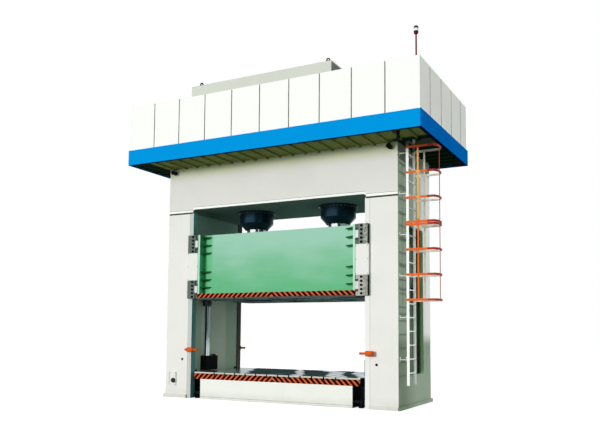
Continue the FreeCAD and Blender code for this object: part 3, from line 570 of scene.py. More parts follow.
@dataclass(frozen=True)
class GroundSteel(Finish):
    """Bare machined steel with tool marks along one axis and an oil film.

    Attributes:
        marks: Stretch of the tool marks along X, Y and Z.
        oil: How strong the dark oil patches are.
        film: Colour of the oil patches.
        patches: Number of oil patches in a metre.
        metal: 1 for bare metal, 0 under blacking.
        pools: Left and right ends of large oil pools; none where the patches are scattered.
        lean: Shift of the pools along X in a metre of depth.
    """

    marks: Point = (1.0, 0.05, 1.0)
    oil: float = 0.25
    film: Colour = (0.28, 0.29, 0.29)
    patches: float = 2.2
    metal: float = 1.0
    pools: tuple[Span, ...] = ()
    lean: float = -0.52

    def wet(self, sheet: NodeSheet) -> object:
        """How wet the steel is, 0 where it is dry.

        Args:
            sheet: Sheet to build it on.

        Returns:
            The mask's socket.
        """
        ragged = sheet.noise(self.patches, 5.0)
        wet: object = sheet.ramp(ragged, 0.45, 0.53)
        if self.pools:
            place = sheet.math("SUBTRACT", sheet.x, sheet.times(sheet.y, self.lean))
            place = sheet.math("ADD", place, sheet.blend(ragged, -0.35, 0.35))
            pools = [sheet.within(place, left, right, 0.13) for left, right in self.pools]
            wet = sheet.math("MAXIMUM", *pools)
        return sheet.times(wet, self.oil)

    def surface(self, sheet: NodeSheet) -> Socket:
        """The metal's colour with its oil film.

        Args:
            sheet: Sheet to build it on.

        Returns:
            The colour's socket.
        """
        streaks = sheet.ramp(sheet.noise(9.0, 4.0, self.marks), 0.42, 0.70)
        film = sheet.mix(streaks, self.film, shade(self.film, 2.2))
        return sheet.mix(self.wet(sheet), self.colour, film)

    def apply(self, sheet: NodeSheet) -> None:
        """Draws the tool marks and lays the oil.

        Args:
            sheet: Sheet to build it on.
        """
        sheet.relief(sheet.noise(90.0, 3.0, self.marks), 0.0006, 0.003)
        dull = sheet.blend(sheet.noise(2.2, 5.0), self.roughness - 0.10, self.roughness + 0.14)
        sheet.finish(self.surface(sheet), dull, self.metal, 0.5 * self.metal)


@dataclass(frozen=True)
class StripedSteel(GroundSteel):
    """A machined plate whose front and rear edges carry slanted hazard stripes.

    Attributes:
        low: Lower edge of the stripes.
        high: Upper edge of the stripes.
        face: Distance of the striped faces from the middle.
        pitch: Width of one light and one dark stripe.
        light: Colour of the light stripes.
        dark: Colour of the dark stripes.
        worn: Colour of the worn spots.
        edge_paint: Colour of the edge beside the stripes.
        end: Distance of the ends with painted shade from the middle.
        end_paint: Colour of the painted shade on those ends.
    """

    low: float = 0.485
    high: float = 0.625
    face: float = 1.14
    pitch: float = 0.139
    light: Colour = (0.58, 0.118, 0.046)
    dark: Colour = (0.020, 0.002, 0.001)
    worn: Colour = (0.16, 0.06, 0.04)
    edge_paint: Colour = (0.58, 0.57, 0.52)
    end: float = 9.0
    end_paint: Colour = (0.006, 0.009, 0.008)

    def apply(self, sheet: NodeSheet) -> None:
        """Paints the stripes on the edges; only dry bare steel shines.

        Args:
            sheet: Sheet to build it on.
        """
        on_edge, in_end_shade = sheet.past(sheet.y, self.face), sheet.past(sheet.x, self.end)
        slanted = sheet.math("ADD", sheet.away(sheet.x), sheet.z)
        turn = sheet.math("FRACT", sheet.math("DIVIDE", slanted, self.pitch))
        stripe = sheet.times(sheet.ramp(turn, 0.0, 0.05), sheet.ramp(turn, 0.46, 0.41))
        wear = sheet.times(sheet.ramp(sheet.noise(30.0, 5.0), 0.60, 0.78), 0.35)
        paint = sheet.mix(wear, sheet.mix(stripe, self.dark, self.light), self.worn)
        band = sheet.times(sheet.within(sheet.z, self.low, self.high), on_edge)
        # Painted shade on the ends.
        top = sheet.mix(in_end_shade, self.surface(sheet), self.end_paint)
        colour = sheet.mix(band, sheet.mix(on_edge, top, self.edge_paint), paint)
        sheet.relief(sheet.noise(90.0, 3.0, self.marks), 0.0006, 0.003)
        dry = sheet.ramp(sheet.math("MAXIMUM", on_edge, in_end_shade, self.wet(sheet)), 0.9, 0.1)
        dull = sheet.blend(sheet.noise(2.2, 5.0), self.roughness - 0.08, self.roughness + 0.12)
        bare, gloss = sheet.times(dry, self.metal), sheet.times(dry, 0.5 * self.metal)
        sheet.finish(colour, sheet.blend(on_edge, dull, 0.45), bare, gloss)


@dataclass(frozen=True)
class RailSteel(GroundSteel):
    """A guide rail: painted in front, ground and oiled on its running side.

    Attributes:
        front: Distance of the painted front from the middle.
        running: Distance of the running side from the middle.
        paint: Colour of the front.
        shaded: Colour of the front on the side away from the ladder.
        smears: Colour of the oil smears on the front.
        grease: Colour of the greased running side.
        black_oil: Colour of the rear rails inside, near black.
    """

    front: float = 1.14
    running: float = 2.367
    paint: Colour = (0.83, 0.83, 0.81)
    shaded: Colour = (0.56, 0.57, 0.55)
    smears: Colour = (0.42, 0.46, 0.48)
    grease: Colour = (0.21, 0.60, 0.62)
    black_oil: Colour = (0.035, 0.05, 0.035)

    def apply(self, sheet: NodeSheet) -> None:
        """Paints the front and greases the running side.

        Args:
            sheet: Sheet to build it on.
        """
        painted = sheet.past(sheet.y, self.front)
        side = sheet.ramp(sheet.away(sheet.x), self.running + 0.003, self.running + 0.001)
        rear = sheet.ramp(sheet.y, 0.0, 0.1)
        covered = sheet.math("MAXIMUM", side, rear, painted)
        smear = sheet.ramp(sheet.noise(3.0, 5.0, (1.0, 1.0, 0.25)), 0.35, 0.70)
        front = sheet.mix(sheet.ramp(sheet.x, -1.0, 1.0), self.shaded, self.paint)
        front = sheet.mix(sheet.times(smear, 0.12), front, self.smears)
        grease = sheet.mix(smear, self.grease, shade(self.grease, 0.5))
        inside = sheet.mix(rear, sheet.mix(side, self.colour, grease), self.black_oil)
        sheet.relief(sheet.noise(90.0, 3.0, self.marks), 0.0005, 0.003)
        sheet.finish(
            sheet.mix(painted, inside, front), sheet.blend(painted, self.roughness, 0.35),
            sheet.math("SUBTRACT", 1.0, covered), sheet.blend(covered, 0.5, 0.12),
        )


@dataclass(frozen=True)
class Chrome(Finish):
    """Hard chrome on a ground rod, with a thin film of oil.

    Attributes:
        zones: Stretches of their own colour: unplated parts, and painted reflections.
        film: Colour of the oil.
    """

    zones: tuple[Zone, ...] = ()
    film: Colour = (0.42, 0.44, 0.44)

    def apply(self, sheet: NodeSheet) -> None:
        """Lays the film and the zones over the chrome.

        Args:
            sheet: Sheet to build it on.
        """
        film = sheet.ramp(sheet.noise(6.0, 4.0, (1.0, 1.0, 0.3)), 0.50, 0.75)
        colour = sheet.mix(sheet.times(film, 0.2), self.colour, self.film)
        for zone in self.zones:
            colour = zone.lay(sheet, colour)
        sheet.relief(sheet.noise(220.0, 2.0, (1.0, 1.0, 4.0)), 0.0001)
        sheet.finish(colour, sheet.blend(film, self.roughness, self.roughness + 0.08), 1.0)


@dataclass(frozen=True)
class Plastic(Finish):
    """Moulded plastic with a fine grain.

    Attributes:
        specular: Strength of the gloss.
    """

    specular: float = 0.5

    def apply(self, sheet: NodeSheet) -> None:
        """Mottles the plastic and gives it its grain.

        Args:
            sheet: Sheet to build it on.
        """
        mottle = sheet.times(sheet.noise(25.0, 4.0), 0.35)
        sheet.relief(sheet.noise(300.0, 2.0), 0.0004, 0.002)
        colour = sheet.mix(mottle, self.colour, shade(self.colour, 0.7))
        sheet.finish(colour, self.roughness, gloss=self.specular)


class Palette:
    """Every finish of the press, built once."""

    def __init__(self, plan: Plan) -> None:
        """Builds the materials, with their zones laid out by the plan."""
        self.materials = {finish.name: finish.material() for finish in self.finishes(plan)}

    @classmethod
    def finishes(cls, plan: Plan) -> tuple[Finish, ...]:
        """Lists the finishes.

        Args:
            plan: Shared places, which the zones follow.

        Returns:
            The finishes.
        """
        plated, flange = (0.88, 0.90, 0.91), 0.046
        # Painted shade: greyer trays on the side above the ladder.
        fascia = Zone((3.99, -FAR, 6.0), (4.1, FAR, 7.6), (0.87, 0.85, 0.815), ladder_side=True, clouds=0.08)
        # Painted shade: black where the bed faces a corner pocket.
        pocket = Zone((2.067, -FAR, 0.0), (FAR, FAR, 0.49), POCKET_SHADE)
        # Painted shade: deeper blue on the band's side above the ladder, and dark on its lower lip.
        band = (
            Zone((4.0, -FAR, 5.8), (4.05, FAR, 6.3), (0.0, 0.145, 0.54), ladder_side=True, matt=True),
            Zone((-1.0, -1.0, 5.8), (FAR, FAR, 5.8365), (0.0, 0.015, 0.04), matt=True),
        )
        # Bright middles of the keeper bars.
        keepers = tuple(
            Zone((-1.0, 1.20, middle - 0.085), (2.5, FAR, middle + 0.085), (0.74, 0.75, 0.72))
            for middle in (2.72, 3.87)
        )
        # Black flange at a rod's foot.
        foot = Zone(
            (-1.0, -1.0, plan.slide_top - 0.01), (FAR / 2, FAR / 2, plan.slide_top + flange),
            (0.012, 0.015, 0.018),
        )
        # Painted reflections on the lock rods: a dark stripe along their front and a light one beside it.
        grease = (
            Zone((2.2345, 0.66, 0.5), (2.2745, 0.72, 4.0), (0.006, 0.010, 0.016), soft_side=0.003),
            Zone((2.2775, 0.60, 0.5), (2.36, 0.72, 4.0), (0.90, 0.93, 0.94)),
        )
        # Painted shade: darker soffit over the ladder and at the other end.
        soffit = (
            Zone(
                (plan.outer - 0.02, -1.30, 5.8), (FAR, 1.6, 5.9), (0.012, 0.034, 0.018), ladder_side=True,
                one_face=True, soft_side=0.15, matt=True,
            ),
            Zone(
                (-3.75, -FAR, 5.8), (-plan.outer - 0.02, FAR, 5.9), (0.03, 0.055, 0.03), ladder_side=True,
                matt=True,
            ),
        )
        # Painted shade on the tank's end plate and on the top of the ladder in the hatch.
        tank = Zone((1.45, -FAR, 6.7), (1.5, FAR, 8.06), (0.16, 0.165, 0.145), ladder_side=True)
        hatch = Zone((-1.0, -FAR, 5.73), (FAR, FAR, 5.92), (0.20, 0.24, 0.17), matt=True)
        return (
            Paint(
                "column_paint", (0.795, 0.775, 0.742), 0.42, dust_height=0.30, specular=0.10,
                zones=cls.column_zones(plan),
            ),
            Paint("bed_paint", (0.855, 0.85, 0.80), 0.42, dust_height=0.25, specular=0.10, zones=(pocket,)),
            # Painted highlight: the crown's lower edge strips, lighter than the crown.
            Paint("crown_lip_paint", (0.95, 0.95, 0.92), 0.36, 0.02, specular=0.2),
            Paint("fascia_paint", (0.92, 0.915, 0.885), 0.40, 0.02, specular=0.2, zones=(fascia,)),
            Paint("band_paint", (0.0, 0.28, 0.70), 0.40, 0.05, specular=0.02, zones=band),
            SlidePaint(
                "slide_paint", (0.11, 0.43, 0.20), 0.30, 0.04, specular=0.35, zones=cls.slide_zones(plan)
            ),
            StripedSteel(
                "bolster_steel", (0.74, 0.77, 0.78), 0.20, oil=0.97, film=(0.032, 0.060, 0.064), patches=1.3,
                pools=((-1.25, -0.02), (0.30, 0.84), (1.36, 1.60)), end=plan.bolster_end,
            ),
            # Slide plate: dark oil film, with lighter teal patches and streaks as painted reflections.
            StripedSteel(
                "blacked_steel", (0.40, 0.52, 0.54), 0.5, oil=0.92, film=(0.06, 0.12, 0.13), patches=1.6,
                metal=0.0, low=plan.slide_bottom + 0.05, high=plan.plate_top, face=plan.slide_front,
                edge_paint=(0.07, 0.085, 0.09),
            ),
            StripedSteel(
                "slide_stripes", (0.10, 0.13, 0.14), 0.3, low=plan.slide_bottom + 0.03, high=plan.plate_top,
                face=plan.slide_front + 0.0025,
            ),
            RailSteel("rail_steel", (0.40, 0.44, 0.44), 0.24, (1.0, 1.0, 0.05)),
            Paint("shoe_paint", (0.10, 0.125, 0.11), 0.42, 0.15, zones=cls.shoe_zones()),
            Paint("keeper_paint", (0.03, 0.035, 0.035), 0.36, 0.10, zones=keepers),
            Paint("cover_paint", (0.79, 0.78, 0.75), 0.40, 0.03, specular=0.25),
            Paint("black_paint", (0.008, 0.012, 0.016), 0.26, 0.10, specular=0.35),
            Paint("matt_blacking", (0.004, 0.006, 0.006), 0.6, 0.10, specular=0.08),
            Paint("cylinder_paint", (0.002, 0.007, 0.011), 0.22, 0.10, specular=1.0, tint=(0.22, 0.55, 0.85)),
            GroundSteel("bolt_steel", (0.035, 0.04, 0.045), 0.38),
            GroundSteel("turned_steel", (0.45, 0.46, 0.45), 0.32, EVEN),
            Chrome("rod_chrome", plated, 0.05, (foot,)),
            # Lock-rod chrome with painted reflections.
            Chrome("greased_chrome", (0.50, 0.58, 0.60), 0.05, grease),
            Plastic("sensor_plastic", (0.70, 0.105, 0.008), 0.42, 0.15),
            Plastic("sensor_lens", (0.03, 0.01, 0.01), 0.12),
            Plastic("black_rubber", (0.010, 0.010, 0.011), 0.62),
            ChequerPlate("deck_plate_paint", (0.25, 0.26, 0.26), 0.5, 0.2),
            Paint("joist_paint", (0.045, 0.075, 0.040), 0.6, 0.10),
            Paint("groove_filler", (0.20, 0.21, 0.20), 0.5, 0.15),
            Paint("post_paint", (0.05, 0.05, 0.05), 0.6, 0.15),
            Plastic("fascia_seal", (0.03, 0.032, 0.028), 0.6),
            Paint("soffit_paint", (0.16, 0.195, 0.048), 0.7, 0.45, specular=0.1, zones=soffit),
            Paint("tank_paint", (0.62, 0.63, 0.57), 0.46, 0.10, specular=0.2, zones=(tank,)),
            Paint("motor_paint", (0.05, 0.17, 0.26), 0.40, 0.15),
            Paint("ladder_paint", (0.93, 0.93, 0.91), 0.36, 0.05, specular=0.3, zones=(hatch,)),
            Paint("cage_paint", (0.76, 0.13, 0.018), 0.40, 0.10, specular=0.3, zones=cls.cage_zones()),
            Plastic("beacon_red", (0.17, 0.004, 0.010), 0.30, 0.15),
            Plastic("beacon_white", (0.85, 0.84, 0.82), 0.20),
            Paint("seam_filler", (0.05, 0.05, 0.04), 0.7, 0.2, specular=0.2),
        )

    @staticmethod
    def column_zones(plan: Plan) -> tuple[Zone, ...]:
        """Painted shade and light on the side wall, green inside, greenish painted light and shade on the
        inner faces, painted shade under the crown and as black in the corner pockets, and a painted light on
        the crown front's top.

        Args:
            plan: Shared places.

        Returns:
            The zones of columns and crown.
        """
        skin, toe, pocket = 0.005, 0.05, 0.848
        inner, outer, front, joint = plan.inner, plan.outer, plan.front - skin, plan.joint
        side = (outer - skin, -FAR, 0.0)
        left = {"ladder_side": True, "one_face": True, "soft_top": 0.6}
        return (
            # Painted shade and light on the side wall: darker at the front, light at the rear.
            Zone(
                side, (outer + toe, FAR, FAR), (0.318, 0.39, 0.298), (0.99, 0.98, 0.94), 1, (0.05, 0.75),
                ladder_side=True, clouds=0.12,
            ),
            # Painted shade on the side wall near the floor, darker at the front.
            Zone(
                side, (outer + toe, FAR, 1.35), (0.18, 0.235, 0.165), (0.32, 0.40, 0.30), 1, (-0.9, 0.1),
                ladder_side=True, soft_top=0.35,
            ),
            Zone((inner + skin, -1.0, 0.0), (outer - skin, front, joint), (0.48, 0.69, 0.45), matt=True),
            # Painted light and shade on the inner faces: greenish, light low down, darker towards the top
            # under the crown.
            Zone(
                (inner - skin, -1.0, 0.0), (inner + SOFT, front, plan.underside), (0.93, 1.0, 0.84),
                (0.35, 0.52, 0.46), turn=(3.2, 4.3), clouds=0.15,
            ),
            # Painted shade in soft bands on the left column's inner face.
            Zone(
                (-inner - SOFT, 0.50, 0.4), (-inner + skin, 0.95, 2.6), (0.60, 0.77, 0.62), soft_side=0.16,
                clouds=0.15, **left,
            ),
            Zone(
                (-inner - SOFT, -1.2, 0.4), (-inner + skin, -0.72, 2.6), (0.62, 0.78, 0.62), soft_side=0.08,
                clouds=0.1, **left,
            ),
            # Crown front: a little darker as painted shade, turning into a pale yellow painted light at its
            # top under the soffit.
            Zone(
                (-1.0, front, joint + 0.012), (outer - skin, FAR, FAR), (0.735, 0.72, 0.69), (1.0, 1.0, 0.74),
                turn=(5.52, 5.76), clouds=0.10,
            ),
            # Painted shade on the crown's underside between the columns.
            Zone(
                (-1.0, -1.0, joint - 0.02), (inner, front, plan.underside + skin), (0.25, 0.32, 0.32),
                matt=True,
            ),
            # Painted shade: black in the corner pockets.
            Zone((-1.0, pocket, 0.0), (inner + skin, plan.front + SOFT, 0.70), POCKET_SHADE),
            Zone((2.479, front, 0.0), (2.485, FAR, joint), (0.36, 0.37, 0.35)),
        )

    @staticmethod
    def slide_zones(plan: Plan) -> tuple[Zone, ...]:
        """Painted shade: full green without the sheen in the left corner, dark gussets, darker end plates
        inside and shadows under the gussets; painted highlights on the gussets' upper edges and the end
        plates' front edges.

        Args:
            plan: Shared places.

        Returns:
            The zones of the slide.
        """
        wall, reach = 1.04, 0.32
        end, front, foot = plan.slide_end - 0.048, plan.slide_front, plan.slide_end - reach
        bottom, top = plan.plate_top + 0.001, plan.slide_top + 0.001
        gussets = (2.77, 2.965, 3.16, 3.64, 3.835, 4.03)
        # Painted highlights on the gussets' upper edges.
        edges = tuple(
            Zone(
                (foot, wall + 0.004, z + 0.010), (end - 0.006, front - 0.004, z + 0.017), (0.14, 0.50, 0.24),
                ladder_side=True,
            )
            for z in gussets
        )
        # Painted shadows under the gussets.
        shadows = tuple(
            Zone(
                (plan.slide_end - 0.24, wall - 0.01, z - 0.046), (end, wall + 0.003, z - 0.010),
                (0.012, 0.19, 0.05), soft_side=0.04, clouds=0.0,
            )
            for z in gussets
        )
        return (
            # Painted shade: full green without the sheen in the left corner, darker at the end plate.
            Zone(
                (-end, wall - 0.01, bottom), (-end + 0.22, wall + 0.012, top), (0.07, 0.46, 0.15),
                (0.13, 0.47, 0.23), 0, (-2.09, -1.92), ladder_side=True, soft_side=0.09,
            ),
            # Painted shade on the gussets.
            Zone((foot, wall + 0.004, bottom), (end - 0.012, front - 0.004, top), (0.003, 0.075, 0.012)),
            # Painted shade on the end plates' inner faces, darker at the front.
            Zone(
                (end - 0.004, wall + 0.004, bottom), (end + 0.004, front - 0.004, top), (0.03, 0.42, 0.17),
                (0.08, 0.55, 0.24), 1, (-1.19, -1.06),
            ),
            # Painted highlight on the end plates' front edges.
            Zone((end, front - 0.003, bottom), (FAR, front + 0.01, top), (0.50, 0.76, 0.61)),
        ) + edges + shadows

    @staticmethod
    def shoe_zones() -> tuple[Zone, ...]:
        """Bright wear on the shoes at the ladder's side, painted shade as black on their outer ends.

        Returns:
            The zones of the guide shoes.
        """
        end, step = 2.462, 2.36
        worn = (
            (-1.0, end, 2.4, 3.0, (0.49, 0.48, 0.43), 0.36),
            (step, end, 2.4, 3.0, (0.22, 0.22, 0.18), 0.48),
            (2.255, step, 3.6, 4.2, (0.17, 0.20, 0.185), 0.0),
            (step, end, 3.6, 4.2, (0.40, 0.40, 0.34), 0.47),
        )
        return tuple(
            Zone((left, -FAR, low), (right, FAR, high), colour, ladder_side=True, bare=bare)
            for left, right, low, high, colour, bare in worn
        # Painted shade: black on the shoes' outer ends.
        ) + (Zone((end, -FAR, 2.4), (2.5, FAR, 4.2), (0.004, 0.006, 0.005), matt=True),)

    @staticmethod
    def cage_zones() -> tuple[Zone, ...]:
        """Paler rear legs and front strap, painted shade on the outer bends and strap, and a darker red rear
        of the top hoop.

        Returns:
            The zones of the cage.
        """
        return (
            Zone((3.55, 1.0, 4.14), (3.63, 1.12, 5.68), (0.85, 0.42, 0.12), ladder_side=True),
            # Painted shade on the outer bends and strap, darker upwards.
            Zone(
                (3.80, -FAR, 2.0), (4.05, FAR, 6.0), (0.48, 0.07, 0.018), (0.40, 0.03, 0.015),
                turn=(2.4, 3.6), ladder_side=True,
            ),
            Zone((3.25, 0.99, 5.70), (3.80, FAR, 6.0), (0.72, 0.09, 0.03), ladder_side=True),
            Zone((3.30, 0.60, 2.0), (3.985, 0.70, 6.0), (0.78, 0.75, 0.64), ladder_side=True),
        )


# ---- modelling steps -----------------------------------------------------------------------
class Bench:
    """Modelling steps that every sub-assembly shares."""

    @staticmethod
    def only(piece: Piece) -> None:
        """Selects one piece and nothing else.

        Args:
            piece: Piece to select.
        """
        bpy.ops.object.select_all(action="DESELECT")
        piece.select_set(True)
        bpy.context.view_layer.objects.active = piece

    @staticmethod
    def settle(name: str) -> Piece:
        """Names the piece just added and moves its place into its mesh.

        Args:
            name: Name of the piece.

        Returns:
            The piece.
        """
        piece = bpy.context.object
        piece.name = piece.data.name = name
        Bench.only(piece)
        bpy.ops.object.transform_apply(location=True, rotation=True, scale=True)
        return piece

    @staticmethod
    def chamfer(piece: Piece, width: float) -> None:
        """Rounds the piece's sharp edges and shades it smooth between them.

        Args:
            piece: Piece to round.
            width: Width of the rounding.
        """
        Bench.only(piece)
        bpy.ops.object.mode_set(mode="EDIT")
        bpy.ops.mesh.select_mode(type="EDGE")
        bpy.ops.mesh.select_all(action="DESELECT")
        bpy.ops.mesh.edges_select_sharp(sharpness=SHARP_ANGLE)
        bpy.ops.mesh.bevel(offset=width, segments=2, affect="EDGES", clamp_overlap=True)
        bpy.ops.mesh.select_all(action="SELECT")
        bpy.ops.mesh.normals_make_consistent(inside=False)
        bpy.ops.object.mode_set(mode="OBJECT")
        bpy.ops.object.shade_smooth_by_angle(angle=SMOOTH_ANGLE)

    @staticmethod
    def block(name: str, start: Point, end: Point, round_edge: float = 0.004) -> Piece:
        """A block with rounded edges.

        Args:
            name: Name of the piece.
            start: One corner.
            end: The corner across from it.
            round_edge: Width of the rounding.

        Returns:
            The block.
        """
        low, high = Vector(map(min, start, end)), Vector(map(max, start, end))
        size = high - low
        bpy.ops.object.select_all(action="DESELECT")
        bpy.ops.mesh.primitive_cube_add(size=1.0, location=(low + high) / 2, scale=size)
        piece = Bench.settle(name)
        Bench.chamfer(piece, min(round_edge, min(size) * 0.45))
        return piece

    @staticmethod
    def twins(name: str, low: Span, high: Span, depth: Span, round_edge: float) -> list[Piece]:
        """The same strip on the front and on the rear face.

        Args:
            name: Name of the strips.
            low: Lowest X and Z.
            high: Highest X and Z.
            depth: Distances from the middle where a strip starts and ends.
            round_edge: Width of the rounding.

        Returns:
            Both strips.
        """
        near, far = depth
        return [
            Bench.block(name, (low[0], face * near, low[1]), (high[0], face * far, high[1]), round_edge)
            for face in FACES
        ]

    @staticmethod
    def drawn(name: str, rings: list[Span], sides: int, filled: bool) -> Piece:
        """A round piece about Z at the origin, drawn ring by ring.

        Args:
            name: Name of the piece.
            rings: Radius and height of each ring.
            sides: Corners round the piece.
            filled: True for a closed foot, False for a hole through the piece.

        Returns:
            The piece.
        """
        radius, height = rings[0]
        fill, extrude = "NGON", bpy.ops.mesh.extrude_region_move
        if not filled:
            fill, extrude = "NOTHING", bpy.ops.mesh.extrude_edges_move
        bpy.ops.object.select_all(action="DESELECT")
        bpy.ops.mesh.primitive_circle_add(
            vertices=sides, radius=radius, fill_type=fill, location=(0, 0, height)
        )
        piece = Bench.settle(name)
        bpy.ops.object.mode_set(mode="EDIT")
        bpy.ops.mesh.select_all(action="SELECT")
        for next_radius, next_height in rings[1:]:
            extrude(TRANSFORM_OT_translate={"value": (0.0, 0.0, next_height - height)})
            factor = next_radius / radius
            bpy.ops.transform.resize(value=(factor, factor, 1.0), center_override=(0.0, 0.0, next_height))
            radius, height = next_radius, next_height
        bpy.ops.mesh.select_all(action="SELECT")
        if not filled:
            bpy.ops.mesh.remove_doubles(threshold=0.00005)
        bpy.ops.mesh.normals_make_consistent(inside=False)
        bpy.ops.object.mode_set(mode="OBJECT")
        bpy.ops.object.shade_smooth_by_angle(angle=SHARP_ANGLE)
        return piece

    @staticmethod
    def turned(name: str, rings: list[Span], sides: int = 32) -> Piece:
        """A turned piece about Z at the origin, from the radius and height of each ring."""
        return Bench.drawn(name, rings, sides, True)

    @staticmethod
    def ring(name: str, radii: Span, heights: Span, sides: int = 48) -> Piece:
        """A flat ring about Z at the origin, with a hole through it.

        Args:
            name: Name of the piece.
            radii: Radius of the hole and outer radius.
            heights: Lower and upper height.
            sides: Corners round it.

        Returns:
            The ring.
        """
        (inner, outer), (low, high) = radii, heights
        edge = min(0.15 * (outer - inner), 0.15 * (high - low))
        rings = [
            (inner, low), (outer - edge, low), (outer, low + edge), (outer, high - edge),
            (outer - edge, high), (inner, high), (inner, low),
        ]
        return Bench.drawn(name, rings, sides, False)

    @staticmethod
    def put(piece: Piece, place: Point, direction: Point = UP) -> Piece:
        """Moves a piece made about Z at the origin to its place.

        Args:
            piece: Piece to move.
            place: Where its origin goes.
            direction: Where its Z axis points.

        Returns:
            The same piece.
        """
        turn = Vector(UP).rotation_difference(Vector(direction).normalized())
        piece.data.transform(Matrix.Translation(Vector(place)) @ turn.to_matrix().to_4x4())
        return piece

    @staticmethod
    def join(name: str, pieces: list[Piece]) -> Piece:
        """Joins pieces into one.

        Args:
            name: Name of the joined piece.
            pieces: Pieces to join.

        Returns:
            The joined piece.
        """
        Bench.only(pieces[0])
        for piece in pieces[1:]:
            piece.select_set(True)
        if len(pieces) > 1:
            bpy.ops.object.join()
        joined = bpy.context.view_layer.objects.active
        joined.name = joined.data.name = name
        return joined

    @staticmethod
    def repeat(name: str, pattern: Piece, placements: list[Placement]) -> Piece:
        """Copies a piece made about Z at the origin to many places.

        Args:
            name: Name of the joined copies.
            pattern: Piece to copy; it is used up.
            placements: Place and direction of each copy.

        Returns:
            The copies, joined.
        """
        copies = []
        for place, direction in placements:
            twin = pattern.copy()
            twin.data = pattern.data.copy()
            bpy.context.collection.objects.link(twin)
            copies.append(Bench.put(twin, place, direction))
        bpy.data.objects.remove(pattern)
        return Bench.join(name, copies)

    @staticmethod
    def bar(name: str, start: Point, end: Point, radius: float, sides: int) -> Piece:
        """A round bar between two points, with rounded ends.

        Args:
            name: Name of the piece.
            start: First end.
            end: Second end.
            radius: Radius of the bar.
            sides: Corners round it.

        Returns:
            The bar.
        """
        axis = Vector(end) - Vector(start)
        edge = min(radius * 0.3, axis.length * 0.2)
        tip, length = radius - edge, axis.length
        rings = [(tip, 0.0), (radius, edge), (radius, length - edge), (tip, length)]
        return Bench.put(Bench.turned(name, rings, sides), start, tuple(axis))

    @staticmethod
    def pipe(name: str, corners: list[Point], radius: float, bend: float) -> Piece:
        """A bent pipe along a line of corners.

        Args:
            name: Name of the piece.
            corners: Ends and corners of its centre line.
            radius: Radius of the pipe.
            bend: Radius of its bends.

        Returns:
            The pipe.
        """
        points = [Vector(corners[0])]
        for before, corner, after in zip(corners, corners[1:], corners[2:]):
            middle = Vector(corner)
            start = middle + (Vector(before) - middle).normalized() * bend
            end = middle + (Vector(after) - middle).normalized() * bend
            for step in range(7):
                share = step / 6
                points.append(start.lerp(middle, share).lerp(middle.lerp(end, share), share))
        points.append(Vector(corners[-1]))
        line = bpy.data.curves.new(name, "CURVE")
        line.dimensions = "3D"
        line.bevel_depth = radius
        line.bevel_resolution = 3
        line.use_fill_caps = True
        spline = line.splines.new("POLY")
        spline.points.add(len(points) - 1)
        for knot, point in zip(spline.points, points):
            knot.co = (*point, 1.0)
        piece = bpy.data.objects.new(name, line)
        bpy.context.collection.objects.link(piece)
        Bench.only(piece)
        bpy.ops.object.convert(target="MESH")
        bpy.ops.object.shade_smooth_by_angle(angle=SMOOTH_ANGLE)
        return bpy.context.object

    @staticmethod
    def hexagon_head(across: float, height: float) -> Piece:
        """A chamfered hexagon head on its washer, about Z at the origin.

        Args:
            across: Width over the corners.
            height: Height of the head.

        Returns:
            The head.
        """
        radius = across / 2
        head = Bench.turned("head", [(radius, 0.0), (radius, 0.82 * height), (0.84 * radius, height)], 6)
        washer = Bench.turned("washer", [(1.25 * radius, 0.0), (1.25 * radius, 0.15 * height)], 16)
        return Bench.join("hexagon_head", [head, washer])

    @staticmethod
    def socket_head(across: float, height: float) -> Piece:
        """A cap screw head with its key socket, about Z at the origin.

        Args:
            across: Width of the head.
            height: Height of the head.

        Returns:
            The head.
        """
        shape = ((1.0, 0.0), (1.0, 0.88), (0.90, 1.0), (0.50, 1.0), (0.48, 0.45))
        return Bench.turned("socket_head", [(wide * across / 2, high * height) for wide, high in shape], 14)

    @staticmethod
    def circle(
        centre: Point, radius: float, count: int, direction: Point, first: float = 0.0
    ) -> list[Placement]:
        """Places round a vertical axis.

        Args:
            centre: Centre of the circle.
            radius: Radius of the circle.
            count: Number of places.
            direction: Where each copy's Z axis points.
            first: Angle of the first place in degrees.

        Returns:
            The placements.
        """
        x, y, z = centre
        angles = [math.radians(first + 360.0 * step / count) for step in range(count)]
        return [((x + radius * math.cos(turn), y + radius * math.sin(turn), z), direction) for turn in angles]


@dataclass
class SubAssembly:
    """What every sub-assembly shares: its finishes and its way to hand pieces over.

    Attributes:
        palette: The finishes.
        plan: Places that several finishes and sub-assemblies share.
        nodes: The frame's CAD nodes by name.
    """

    palette: Palette
    plan: Plan
    nodes: dict[str, Piece]

    def coat(self, finish: str, *names: str) -> None:
        """Gives CAD nodes a finish.

        Args:
            finish: Name of the finish.
            *names: Names of the nodes.
        """
        for name in names:
            materials = self.nodes[name].data.materials
            materials.clear()
            materials.append(self.palette.materials[finish])

    def add(self, piece: Piece, finish: str, slot: str, body: Body = Body.FRAME) -> None:
        """Gives a new piece its finish and body.

        Args:
            piece: The piece.
            finish: Name of its finish.
            slot: The record's material slot; not used.
            body: The rigid body that it moves with.
        """
        piece.data.materials.clear()
        piece.data.materials.append(self.palette.materials[finish])
        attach(piece, body.value)
        LOG.info("piece %s on %s", piece.name, body.value)

    def screw(self, name: str, head: Piece, places: list[Placement], body: Body = Body.FRAME) -> None:
        """Adds a row of screws as one piece."""
        self.add(Bench.repeat(name, head, places), "bolt_steel", "black_paint", body)


